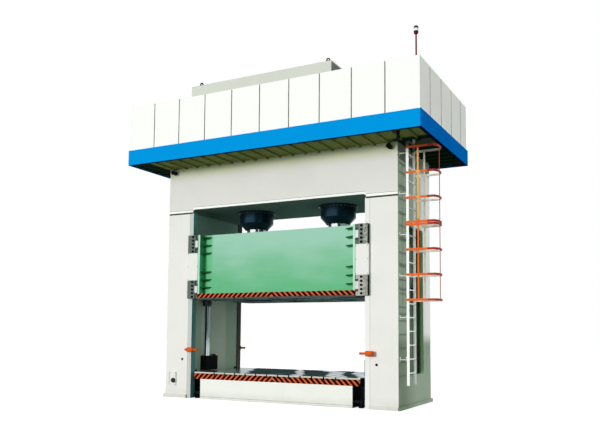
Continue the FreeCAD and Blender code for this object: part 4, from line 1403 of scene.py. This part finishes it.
# ---- sub-assemblies ------------------------------------------------------------------------
@dataclass
class Columns(SubAssembly):
    """Columns and crown with their seams, plugs and window fittings.

    Attributes:
        lip: Height of the crown's lower edge strip.
        plug_place: Distance and height of the front plugs.
        window: Half width, sill and head of a column's window.
        rim: Width of the rim round it.
        pipe_place: Distance of the pipes from the middle.
        pipes: Place of each pipe along Y.
        pipe_ends: Height of the pipes' upper ends and of the first one's bend.
        pipe_step: Height between two bends.
        pipe_reach: Length of the pipes' level ends.
        manifold: Half width, underside and top of the manifold.
        manifold_ends: Its ends along Y.
        valves: Place of each valve along Y.
        valve_height: Height of the valves' axes.
    """

    lip: float = 0.055
    plug_place: Span = (2.64, 0.965)
    window: Point = (0.58, 0.71, 4.10)
    rim: float = 0.05
    pipe_place: float = 2.70
    pipes: tuple[float, ...] = (-0.30, -0.12, 0.10, 0.34)
    pipe_ends: Span = (4.5, 1.2)
    pipe_step: float = 0.25
    pipe_reach: float = 0.2
    manifold: Point = (0.12, 2.5, 2.85)
    manifold_ends: Span = (-0.40, 0.44)
    valves: Point = (-0.25, 0.02, 0.29)
    valve_height: float = 2.68

    def build(self) -> None:
        """Builds and dresses everything of the frame's welded boxes."""
        self.coat("column_paint", "left_column", "right_column", "crown")
        self.coat("turned_steel", "tie_rods")
        self.coat("black_paint", "tie_rod_nuts")
        self.coat("matt_blacking", "crown_trunnions")
        for side in Side:
            self.build_joint(side)
            self.build_plug(side)
            self.build_window(side)
            self.build_pipes(side)
        self.build_lip()

    def build_joint(self, side: Side) -> None:
        """The dark filler in the joint between a column and the crown.

        Args:
            side: Side of the column.
        """
        low_x, high_x = sorted((side.value * self.plan.inner, side.value * self.plan.outer))
        joint, front = self.plan.joint, self.plan.front
        strips = Bench.twins(
            "filler", (low_x + 0.002, joint - 0.018), (high_x - 0.004, joint + 0.020),
            (front - 0.010, front + 0.003), 0.002,
        )
        self.add(Bench.join(f"column_joint_{side.label}", strips), "seam_filler", "column_paint")

    def build_plug(self, side: Side) -> None:
        """The plug in a column's front.

        Args:
            side: Side of the column.
        """
        across, height = self.plug_place
        rings = [(0.030, 0.0), (0.030, 0.006), (0.022, 0.012), (0.010, 0.012), (0.009, 0.008)]
        plug = Bench.turned(f"column_plug_{side.label}", rings, 20)
        Bench.put(plug, (side.value * across, -self.plan.front, height), FORWARD)
        self.add(plug, "black_paint", "black_paint")

    def build_lip(self) -> None:
        """The smooth strips along the crown's lower edges, painted lighter as a highlight, and a fine groove
        above them.
        """
        inner, outer, front = self.plan.inner, self.plan.outer, self.plan.front
        foot = self.plan.joint + 0.022
        strips, grooves = [], []
        stretches = ((-outer, -inner, foot), (-inner, inner, self.plan.underside), (inner, outer, foot))
        for left, right, low in stretches:
            top = low + self.lip
            strips += Bench.twins("lip", (left, low), (right, top), (front - 0.010, front + 0.005), 0.004)
            grooves += Bench.twins(
                "groove", (left, top + 0.001), (right, top + 0.009), (front - 0.010, front + 0.001), 0.001
            )
        self.add(Bench.join("crown_lip", strips), "crown_lip_paint", "column_paint")
        self.add(Bench.join("crown_groove", grooves), "groove_filler", "column_paint")

    def build_window(self, side: Side) -> None:
        """The rim round a column's window.

        Args:
            side: Side of the column.
        """
        half, low, high = self.window
        rim, outer = self.rim, side.value * self.plan.outer
        start, end = outer - side.value * 0.020, outer + side.value * 0.003
        bars = (
            (-half - rim, -half, low - rim, high + rim), (half, half + rim, low - rim, high + rim),
            (-half, half, low - rim, low), (-half, half, high, high + rim),
        )
        parts = [
            Bench.block("rim", (start, left, foot), (end, right, top), 0.003)
            for left, right, foot, top in bars
        ]
        self.add(Bench.join(f"window_rim_{side.label}", parts), "column_paint", "column_paint")

    def build_pipes(self, side: Side) -> None:
        """The pipes and the manifold with its valves inside a window.

        Args:
            side: Side of the column.
        """
        x, name = side.value * self.pipe_place, side.label
        (top, foot), (half, low, high), (left, right) = self.pipe_ends, self.manifold, self.manifold_ends
        pipes = []
        for step, y in enumerate(self.pipes):
            z = foot + self.pipe_step * step
            corners = [(x, y, top), (x, y, z), (x - side.value * self.pipe_reach, y, z)]
            pipes.append(Bench.pipe("pipe", corners, 0.032, 0.09))
        self.add(Bench.join(f"column_pipes_{name}", pipes), "turned_steel", "tie_rod_steel")
        block = Bench.block(f"column_manifold_{name}", (x - half, left, low), (x + half, right, high), 0.01)
        self.add(block, "motor_paint", "motor_casting")
        outwards = (side.value, 0.0, 0.0)
        places = [((x + side.value * half, y, self.valve_height), outwards) for y in self.valves]
        rings = [(0.07, 0.0), (0.07, 0.09), (0.045, 0.10), (0.045, 0.19), (0.03, 0.20)]
        valves = Bench.repeat(f"column_valves_{name}", Bench.turned("valve", rings, 16), places)
        self.add(valves, "black_paint", "black_paint")


@dataclass
class Bed(SubAssembly):
    """Bed, bolster and levelling feet.

    Attributes:
        top: Height of the bolster's top.
        toe: Height of the toe plates.
        toe_end: Ends of the toe plates.
        screw_end: Distance of the bolster's screws from the middle.
        screw_rows: Their places along Y.
    """

    top: float = 0.66
    toe: float = 0.05
    toe_end: float = 2.066
    screw_end: float = 2.20
    screw_rows: tuple[float, ...] = (-0.95, -0.35, 0.35, 0.95)

    def build(self) -> None:
        """Dresses the bed and adds the bolster's screws."""
        self.coat("bed_paint", "bed", "bed_ends")
        self.coat("bolster_steel", "bolster")
        self.coat("matt_blacking", "levelling_feet")
        places = [
            ((side.value * self.screw_end, y, self.top - 0.012), UP) for side in Side for y in self.screw_rows
        ]
        self.screw("bolster_screws", Bench.socket_head(0.06, 0.014), places)
        self.build_toe()

    def build_toe(self) -> None:
        """The toe plates along the bed's lower edges, with a shadow gap above them."""
        end, back = self.toe_end, self.plan.front - 0.010
        plates = Bench.twins("toe", (-end, 0.0), (end, self.toe), (back, self.plan.front + 0.006), 0.003)
        gaps = Bench.twins(
            "gap", (-end, self.toe + 0.001), (end, self.toe + 0.008), (back, self.plan.front + 0.001), 0.001
        )
        self.add(Bench.join("bed_toe", plates), "bed_paint", "column_paint")
        self.add(Bench.join("bed_toe_gap", gaps), "groove_filler", "column_paint")


@dataclass
class Cylinders(SubAssembly):
    """Main cylinders with their flange rims, screws and wipers.

    Attributes:
        across: Distance of each cylinder from the middle.
        flange_bottom: Height of the flange's underside.
        gland_bottom: Height of the gland's underside.
        rod_flange: Thickness of the flange at a rod's foot.
        rim: Inner and outer radius of the flange's rim.
        wiper: Inner and outer radius of the rod's wiper.
        flange_circle: Radius of the flange screws' circle.
        gland_circle: Radius of the gland screws' circle.
        collar_circle: Radius of the collar bolts' circle.
    """

    across: float = 1.18
    flange_bottom: float = 4.735
    gland_bottom: float = 4.33
    rod_flange: float = 0.045
    rim: Span = (0.468, 0.484)
    wiper: Span = (0.2515, 0.268)
    flange_circle: float = 0.459
    gland_circle: float = 0.288
    collar_circle: float = 0.312

    def build(self) -> None:
        """Builds the details of both cylinders."""
        barrels = [f"{kind}_{side.label}" for kind in ("main_cylinder", "gland") for side in Side]
        self.coat("cylinder_paint", *barrels)
        self.coat("rod_chrome", "piston_rod_left", "piston_rod_right")
        for side in Side:
            self.build_one(side)

    def build_one(self, side: Side) -> None:
        """The rings and screws of one cylinder.

        Args:
            side: Side of the cylinder.
        """
        x, name = side.value * self.across, side.label
        flange, gland = (x, 0.0, self.flange_bottom), (x, 0.0, self.gland_bottom)
        rim = Bench.ring(f"flange_rim_{name}", self.rim, (-0.014, 0.004), 64)
        self.add(Bench.put(rim, (x, 0.0, self.flange_bottom + 0.012)), "black_paint", "tie_rod_steel")
        head = Bench.socket_head(0.030, 0.024)
        self.screw(f"flange_screws_{name}", head, Bench.circle(flange, self.flange_circle, 32, DOWN))
        head = Bench.socket_head(0.026, 0.020)
        self.screw(f"gland_screws_{name}", head, Bench.circle(gland, self.gland_circle, 20, DOWN))
        wiper = Bench.ring(f"rod_wiper_{name}", self.wiper, (-0.016, 0.0), 64)
        self.add(Bench.put(wiper, gland), "black_rubber", "black_paint")
        collar = (x, 0.0, self.plan.slide_top + self.rod_flange)
        head = Bench.hexagon_head(0.046, 0.024)
        bolts = Bench.circle(collar, self.collar_circle, 16, UP)
        self.screw(f"collar_bolts_{name}", head, bolts, Body.SLIDE)


@dataclass
class Slide(SubAssembly):
    """The slide with its welds, stripes, shoes and covers.

    Attributes:
        wall: Front face between the end plates.
        end_plate: Thickness of the end plates.
        bead: Radius of the weld beads.
        stripe_bottom: Lower edge of the striped strips.
        cover_front: Front face of the rail covers.
        cover_edges: Distances of the cover screws from the middle.
        cover_rows: Heights of the cover screws.
    """

    wall: float = 1.04
    end_plate: float = 0.05
    bead: float = 0.010
    stripe_bottom: float = 2.503
    cover_front: float = 1.2105
    cover_edges: Span = (2.180, 2.460)
    cover_rows: Point = (2.98, 3.295, 3.61)

    def build(self) -> None:
        """Builds and dresses the slide."""
        self.coat("slide_paint", "slide_body")
        self.coat("blacked_steel", "slide_plate")
        self.coat("black_paint", "lock_brackets", "lock_housings")
        self.coat("matt_blacking", "shoe_bolts")
        self.coat("keeper_paint", "shoe_keepers")
        self.coat("cover_paint", "guide_covers")
        corners = [f"{y}_{x}" for y in ("front", "rear") for x in ("right", "left")]
        self.coat("shoe_paint", *[f"guide_shoes_{corner}" for corner in corners])
        self.coat("rail_steel", *[f"guide_rail_{corner}" for corner in corners])
        self.build_welds()
        self.build_stripes()
        self.build_cover_screws()

    def build_welds(self) -> None:
        """Weld beads along the slide's front and rear corners."""
        inner = self.plan.slide_end - self.end_plate
        low, high = self.plan.plate_top, self.plan.slide_top - 0.01
        beads = []
        for y in (-self.wall, self.wall):
            lines = [((x, y, low), (x, y, high)) for x in (-inner, inner)]
            lines.append(((-inner, y, low), (inner, y, low)))
            beads += [Bench.bar("bead", start, end, self.bead, 8) for start, end in lines]
        self.add(Bench.join("slide_welds", beads), "slide_paint", "slide_paint", Body.SLIDE)

    def build_stripes(self) -> None:
        """The thin striped strips on the slide plate's front and rear edges."""
        end, front = self.plan.slide_end, self.plan.slide_front
        strips = Bench.twins(
            "strip", (-end, self.stripe_bottom), (end, self.plan.plate_top - 0.001),
            (front - 0.001, front + 0.003), 0.0008,
        )
        self.add(Bench.join("slide_stripes", strips), "slide_stripes", "machined_steel", Body.SLIDE)

    def build_cover_screws(self) -> None:
        """Small screws at the corners of the rail covers."""
        places = [
            ((side.value * across, face * self.cover_front, z), (0.0, float(face), 0.0))
            for face in FACES for side in Side for across in self.cover_edges for z in self.cover_rows
        ]
        self.screw("cover_screws", Bench.socket_head(0.016, 0.006), places, Body.SLIDE)


@dataclass
class LockGear(SubAssembly):
    """Lock rods beside the slide, with their seats and housings.

    Attributes:
        across: Distance of the rods from the middle.
        front: Place of the rods along Y.
        screw_row: Place of the seat screws along Y, between the rod and the boss.
        seat_top: Height of the foot seats' tops.
        housing_bottom: Height of the housings' undersides.
        seat_screws: Distances of the seat screws from the rod along X.
        housing_circle: Radius of the housing screws' circle.
    """

    across: float = 2.27
    front: float = -0.62
    screw_row: float = -0.45
    seat_top: float = 1.045
    housing_bottom: float = 2.32
    seat_screws: Span = (-0.055, 0.075)
    housing_circle: float = 0.092

    def build(self) -> None:
        """Builds the details of both rods."""
        self.coat("greased_chrome", "lock_rods")
        self.coat("matt_blacking", "lock_rod_seats")
        seats = [
            ((side.value * (self.across + inset), self.screw_row, self.seat_top), UP)
            for side in Side for inset in self.seat_screws
        ]
        self.screw("seat_screws", Bench.hexagon_head(0.045, 0.028), seats)
        housings: list[Placement] = []
        for side in Side:
            centre = (side.value * self.across, self.front, self.housing_bottom)
            housings += Bench.circle(centre, self.housing_circle, 8, DOWN, 22.5)
        self.screw("housing_screws", Bench.socket_head(0.020, 0.014), housings, Body.SLIDE)


@dataclass
class ColumnFittings(SubAssembly):
    """Beam sensors and the service box with its socket.

    Attributes:
        sensor_height: Height of the sensors' axes.
        sensor_front: Distance of their axes from the middle.
        nose_end: Distance of the noses' ends from the middle.
        head_end: Distance of the heads' outer ends.
        reach_in: How much further in the front left sensor stands.
        rings_back: Distances of the nose's rings from its end.
        screw_inset: Distance of the box's screws from its edges.
    """

    sensor_height: float = 1.208
    sensor_front: float = 1.212
    nose_end: float = 2.263
    head_end: float = 2.575
    reach_in: float = 0.149
    rings_back: Span = (0.037, 0.087)
    screw_inset: float = 0.018

    def build(self) -> None:
        """Builds the details of the fittings."""
        self.coat("sensor_plastic", "beam_sensors")
        self.coat("column_paint", "socket_box")
        self.coat("black_rubber", "socket")
        rings, lenses, glands = [], [], []
        for side in Side:
            for face in FACES:
                inset = self.reach_in if side is Side.LEFT and face < 0 else 0.0
                y, z = face * self.sensor_front, self.sensor_height
                inwards, outwards = (float(-side.value), 0.0, 0.0), (float(side.value), 0.0, 0.0)
                tip = side.value * (self.nose_end - inset)
                rings += [((tip + side.value * back, y, z), inwards) for back in self.rings_back]
                lenses.append(((tip, y, z), inwards))
                glands.append(((side.value * (self.head_end - inset), y, z), outwards))
        lens = [(0.019, -0.002), (0.019, 0.0015), (0.012, 0.004)]
        stub = [(0.034, -0.004), (0.034, 0.020), (0.026, 0.024), (0.026, 0.082), (0.020, 0.088)]
        gland = [(0.030, -0.004), (0.030, 0.012), (0.020, 0.018), (0.010, 0.020)]
        plastic, body = "sensor_plastic", "sensor_body"
        for name, pattern, places, finish, slot in (
            ("sensor_rings", Bench.ring("band", (0.024, 0.031), (-0.008, 0.008), 24), rings, plastic, body),
            ("sensor_lenses", Bench.turned("glass", lens, 20), lenses, "sensor_lens", "socket_body"),
            ("sensor_rims", Bench.ring("rim", (0.046, 0.0585), (-0.004, 0.006), 28), glands, plastic, body),
            ("sensor_stubs", Bench.turned("stub", stub, 20), glands[:1], plastic, body),
            ("sensor_glands", Bench.turned("gland", gland, 16), glands[1:], plastic, body),
        ):
            self.add(Bench.repeat(name, pattern, places), finish, slot)
        self.build_socket()

    def build_socket(self) -> None:
        """The socket's collar and lid, and the box's hinge and screws."""
        low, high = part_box("socket_box")
        back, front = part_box("socket")
        centre, inset = (back + front) / 2, self.screw_inset
        collar = Bench.ring("socket_collar", (0.044, 0.060), (0.0, 0.020), 32)
        Bench.put(collar, (centre.x, low.y, centre.z), FORWARD)
        lid = Bench.turned("socket_lid", [(0.047, 0.0), (0.047, 0.006), (0.040, 0.010), (0.012, 0.012)], 32)
        Bench.put(lid, (centre.x, back.y, centre.z), FORWARD)
        start, end = (low.x - 0.014, low.y + 0.004, low.z + 0.02), (low.x + 0.002, high.y, high.z - 0.02)
        hinge = Bench.block("socket_box_hinge", start, end)
        for piece in (collar, lid, hinge):
            self.add(piece, "black_rubber", "socket_body")
        places = [
            ((x, low.y, z), FORWARD)
            for x in (low.x + inset, high.x - inset) for z in (low.z + inset, high.z - inset)
        ]
        self.screw("socket_box_screws", Bench.socket_head(0.014, 0.006), places)


@dataclass
class Roof(SubAssembly):
    """Platform, fascia, soffit fittings, tank and signal lamp.

    Attributes:
        panels: Number of trays along the front.
        gap: Width of the seams between trays.
        corner_tray: Width of the first tray of a side.
        side_tray: Width of the other trays of a side, with one seam.
        side_seams: Number of seams on a side.
        stub_place: Top of the pipe stub that hangs from the soffit.
        post_rows: Heights of the screws on the fascia posts.
        lid_edge: Distance of the lid's screws from its edge.
        lid_end: Distance of the end screws of the long rows from the lid's ends.
        lid_rows: Number of screws in a long and in a short row.
        filler: Place of the filler cap on the lid.
        gauge: Left end, right end, foot and top of the level gauge.
    """

    panels: int = 10
    gap: float = 0.015
    corner_tray: float = 0.69
    side_tray: float = 0.82
    side_seams: int = 4
    stub_place: Point = (3.42, -1.87, 5.885)
    post_rows: Point = (6.45, 6.8, 7.15)
    lid_edge: float = 0.035
    lid_end: float = 0.15
    lid_rows: tuple[int, int] = (14, 5)
    filler: Span = (-2.2, 0.6)
    gauge: tuple[float, ...] = (-0.9, -0.83, 7.2, 7.6)

    def build(self) -> None:
        """Builds and dresses the roof."""
        for finish, names in (
            ("band_paint", ("edge_band",)),
            ("deck_plate_paint", ("deck_plate",)),
            ("joist_paint", ("platform_joists",)),
            ("post_paint", ("fascia_posts",)),
            ("soffit_paint", ("soffit", "soffit_battens")),
            ("fascia_paint", ("fascia_front", "fascia_rear", "fascia_right", "fascia_left")),
            ("tank_paint", ("oil_tank", "tank_lid")),
            ("matt_blacking", ("tank_lugs",)),
            ("motor_paint", ("pump_motors", "oil_pumps")),
            ("beacon_red", ("beacon_pole", "beacon_base")),
            ("beacon_white", ("beacon_lens",)),
            ("black_rubber", ("beacon_cap",)),
        ):
            self.coat(finish, *names)
        self.build_seams()
        self.build_stub()
        self.build_tank()
        self.build_beacon()
        self.build_fascia_screws()

    def seam_places(self) -> list[float]:
        """Middles of the front seams along X.

        Returns:
            The places, from the left.
        """
        low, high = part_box("fascia_front")
        pitch = (high.x - low.x + self.gap) / self.panels
        return [low.x + step * pitch - self.gap / 2 for step in range(1, self.panels)]

    def build_seams(self) -> None:
        """Dark rubber seals over the seams between the fascia trays."""
        half, proud = self.gap / 2 + 0.0035, 0.002
        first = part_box("fascia_front")[0].y + self.corner_tray
        sides = [first + step * self.side_tray for step in range(self.side_seams)]
        strips = []
        for nodes, axis, places in (
            (("fascia_front", "fascia_rear"), 0, self.seam_places()),
            (("fascia_right", "fascia_left"), 1, sides),
        ):
            for low, high in map(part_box, nodes):
                for place in places:
                    start = [low.x - proud, low.y - proud, low.z + 0.002]
                    end = [high.x + proud, high.y + proud, high.z - 0.006]
                    start[axis], end[axis] = place - half, place + half
                    strips.append(Bench.block("strip", start, end, 0.001))
        self.add(Bench.join("fascia_seams", strips), "fascia_seal", "fascia_paint")

    def build_stub(self) -> None:
        """A short capped pipe stub under the soffit, beside the ladder."""
        rings = [
            (0.028, -0.17), (0.040, -0.165), (0.040, -0.10), (0.030, -0.095), (0.030, -0.02), (0.05, -0.02),
            (0.05, 0.0),
        ]
        stub = Bench.put(Bench.turned("soffit_stub", rings, 20), self.stub_place)
        self.add(stub, "matt_blacking", "black_paint")

    def build_tank(self) -> None:
        """Lid screws, filler cap and the level gauge of the oil tank."""
        low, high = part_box("tank_lid")
        edge, end, top = self.lid_edge, self.lid_end, high.z
        long_row, short_row = self.lid_rows
        places = []
        for step in range(long_row):
            x = low.x + end + (high.x - low.x - 2 * end) * step / (long_row - 1)
            places += [((x, y, top), UP) for y in (low.y + edge, high.y - edge)]
        for step in range(1, short_row + 1):
            y = low.y + (high.y - low.y) * step / (short_row + 1)
            places += [((x, y, top), UP) for x in (low.x + edge, high.x - edge)]
        self.screw("lid_screws", Bench.hexagon_head(0.026, 0.014), places)
        rings = [(0.07, 0.0), (0.07, 0.02), (0.045, 0.025), (0.045, 0.045), (0.055, 0.05)]
        cap = Bench.put(Bench.turned("filler_cap", rings, 24), (*self.filler, top))
        self.add(cap, "black_paint", "black_paint")
        left, right, foot, head = self.gauge
        gauge = Bench.block("level_gauge", (left, high.y, foot), (right, high.y + 0.02, head), 0.006)
        self.add(gauge, "sensor_lens", "socket_body")

    def build_beacon(self) -> None:
        """Rings between the lamp's parts."""
        low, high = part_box("beacon_lens")
        middle = (low + high) / 2
        for name, z in (("beacon_ring_low", low.z), ("beacon_ring_high", high.z)):
            ring = Bench.ring(name, (0.043, 0.052), (-0.005, 0.005), 32)
            self.add(Bench.put(ring, (middle.x, middle.y, z)), "black_rubber", "beacon_black")

    def build_fascia_screws(self) -> None:
        """Screws that hold the fascia trays to their posts, seen from inside."""
        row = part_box("fascia_posts")[0].y + 0.04
        places = [((x, row, z), BACKWARD) for z in self.post_rows for x in self.seam_places()]
        self.screw("post_screws", Bench.hexagon_head(0.024, 0.012), places)


@dataclass
class Ladder(SubAssembly):
    """Ladder and safety cage with their bolts.

    Attributes:
        bolt_rows: Places of the cage's bolts along X.
        front: Place of the front bolts along Y.
        rear: Place of the rear bolts along Y.
        hoop_heights: Middles of the cage's hoops.
    """

    bolt_rows: Span = (3.35, 3.59)
    front: float = -1.104
    rear: float = -0.626
    hoop_heights: tuple[float, ...] = (2.3795, 2.9265, 3.4735, 4.0205, 4.0755, 4.611, 5.175, 5.739)

    def build(self) -> None:
        """Builds the ladder's and the cage's bolts."""
        self.coat("ladder_paint", "ladder_stiles", "ladder_rungs", "ladder_brackets")
        self.coat("cage_paint", "cage_hoops", "cage_straps")
        places = [
            ((x, y, z), direction)
            for z in self.hoop_heights for x in self.bolt_rows
            for y, direction in ((self.front, FORWARD), (self.rear, BACKWARD))
        ]
        bolts = Bench.repeat("cage_bolts", Bench.hexagon_head(0.024, 0.012), places)
        self.add(bolts, "cage_paint", "cage_paint")


@dataclass
class Studio:
    """Floor, light and camera.

    Attributes:
        eye: Place of the camera.
        yaw: Turn of the camera to the left of +Y, in radians.
        pitch: Upward tilt, in radians.
        roll: Tilt about its axis, in radians.
        lens: Focal length on a 36 mm wide frame.
        shift: Shift of the frame, right and up.
        sky: Light on dull surfaces from the horizon and from above.
        reflections: Where each stretch of what gloss reflects starts, in degrees from +X, and its colour.
        lamps: Strength, angle and direction of each lamp, by name.
        floor_cast: Colour that the floor throws back at the press.
        floor_seen: Colour of the floor in the picture and in gloss.
        floor_glow: Strength of its glow there.
    """

    eye: Point = (8.217, -15.1945, 1.7)
    yaw: float = 0.4758
    pitch: float = 0.0821
    roll: float = 0.0064
    lens: float = 41.02
    shift: Span = (-0.0157, 0.0908)
    sky: tuple[Colour, Colour] = ((0.30, 0.36, 0.32), (0.50, 0.53, 0.52))
    reflections: tuple[tuple[float, Colour], ...] = (
        (-180.0, (0.08, 0.10, 0.11)), (-150.0, (1.0, 1.0, 1.0)), (-74.0, (0.04, 0.05, 0.06)),
        (-42.0, (0.60, 0.60, 0.58)), (-32.0, (0.08, 0.11, 0.12)), (36.0, (0.55, 0.55, 0.53)),
        (46.0, (0.30, 0.38, 0.39)), (95.0, (0.64, 0.68, 0.70)), (150.0, (0.08, 0.10, 0.11)),
    )
    lamps: tuple[tuple[str, float, float, Point], ...] = (
        ("key", 2.75, 18.0, (-0.42, -0.88, 0.13)),
        ("fill", 1.35, 2.5, (1.0, 0.0, 0.36)),
        ("back", 0.9, 40.0, (-0.45, 0.80, 0.40)),
    )
    floor_cast: Colour = (0.20, 0.23, 0.20)
    floor_seen: Colour = (0.45, 0.45, 0.45)
    floor_glow: float = 0.78

    def build(self) -> None:
        """Builds the whole studio."""
        bpy.context.scene.view_settings.view_transform = "Standard"
        self.build_camera()
        self.build_world()
        self.build_floor()
        self.build_lamps()

    def build_camera(self) -> None:
        """The camera at the photograph's place."""
        sin_yaw, cos_yaw = math.sin(self.yaw), math.cos(self.yaw)
        sin_pitch, cos_pitch = math.sin(self.pitch), math.cos(self.pitch)
        ahead = Vector((-sin_yaw * cos_pitch, cos_yaw * cos_pitch, sin_pitch))
        right = Vector((cos_yaw, sin_yaw, 0.0))
        up = right.cross(ahead)
        right = math.cos(self.roll) * right + math.sin(self.roll) * up
        up = right.cross(ahead)
        data = bpy.data.cameras.new("camera")
        data.sensor_width = 36.0
        data.lens = self.lens
        data.shift_x, data.shift_y = self.shift
        data.clip_end = 400.0
        camera = bpy.data.objects.new("camera", data)
        turn = Matrix((right, up, -ahead)).transposed().to_4x4()
        camera.matrix_world = Matrix.Translation(Vector(self.eye)) @ turn
        bpy.context.collection.objects.link(camera)
        bpy.context.scene.camera = camera

    def build_world(self) -> None:
        """White behind everything, soft grey-green light on dull surfaces."""
        world = bpy.data.worlds.new("studio")
        bpy.context.scene.world = world
        wires = Wiring(world)
        path = wires.node("LightPath").outputs
        seen = wires.math("MAXIMUM", path["Is Camera Ray"], path["Is Transmission Ray"])
        split = wires.node("SeparateXYZ", {0: wires.node("TexCoord").outputs["Generated"]}).outputs
        sky = wires.node("ValToRGB", {"Fac": split["Z"]})
        for stop, place, colour in zip(sky.color_ramp.elements, (0.0, 0.9), self.sky):
            stop.position = place
            stop.color = (*colour, 1.0)
        light = wires.mix(path["Is Glossy Ray"], sky, self.build_reflections(wires, split))
        background = wires.node("Background", {"Color": wires.mix(seen, light, WHITE)})
        wires.node("OutputWorld", {"Surface": background})

    def build_reflections(self, wires: Wiring, split: bpy.types.NodeOutputs) -> Socket:
        """The white walls and dark gaps of the studio, as gloss and metal show them.

        Args:
            wires: The world's node tree.
            split: The direction's X, Y and Z.

        Returns:
            The colour's socket.
        """
        turn = wires.math("ARCTAN2", split["Y"], split["X"])
        share = wires.node("MapRange", {"From Min": -math.pi, "From Max": math.pi, "Value": turn})
        ramp = wires.node("ValToRGB", {"Fac": share.outputs["Result"]})
        ramp.color_ramp.interpolation = "CONSTANT"
        stops = ramp.color_ramp.elements
        stops.remove(stops[1])
        for step, (start, colour) in enumerate(self.reflections):
            stop = stops[0] if step == 0 else stops.new((start + 180.0) / 360.0)
            stop.color = (*colour, 1.0)
        return ramp.outputs["Color"]

    def build_floor(self) -> None:
        """A pale floor that keeps the press's shadow."""
        bpy.ops.object.select_all(action="DESELECT")
        bpy.ops.mesh.primitive_plane_add(size=160.0, location=(0.0, 0.0, -0.002))
        floor = Bench.settle("floor")
        material = bpy.data.materials.new("floor")
        wires = Wiring(material)
        path = wires.node("LightPath").outputs
        seen = wires.math("MAXIMUM", path["Is Camera Ray"], path["Is Glossy Ray"])
        dull = wires.node("BsdfDiffuse", {"Color": self.floor_cast})
        pale = wires.node("BsdfDiffuse", {"Color": self.floor_seen})
        lift = wires.node("Emission", {"Color": WHITE, "Strength": self.floor_glow})
        both = wires.node("AddShader", {0: pale, 1: lift})
        wires.node("OutputMaterial", {"Surface": wires.node("MixShader", {0: seen, 1: dull, 2: both})})
        floor.data.materials.append(material)

    def build_lamps(self) -> None:
        """A low soft key from the front left, a fill from the right and a weak one from behind."""
        for name, strength, angle, towards in self.lamps:
            data = bpy.data.lights.new(name, "SUN")
            data.energy = strength
            data.angle = math.radians(angle)
            lamp = bpy.data.objects.new(name, data)
            lamp.rotation_euler = Vector(towards).to_track_quat("Z", "Y").to_euler()
            lamp.visible_glossy = False
            bpy.context.collection.objects.link(lamp)


def main() -> None:
    """Builds the press's looks around its frame."""
    logging.basicConfig(level=logging.INFO, format="%(name)s: %(message)s")
    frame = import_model()
    bpy.ops.object.select_all(action="DESELECT")
    Studio().build()
    plan = Plan.read()
    palette = Palette(plan)
    for kind in (Columns, Bed, Cylinders, Slide, LockGear, ColumnFittings, Roof, Ladder):
        kind(palette, plan, frame["nodes"]).build()
        LOG.info("%s done", kind.__name__)


if __name__ == "__main__":
    main()
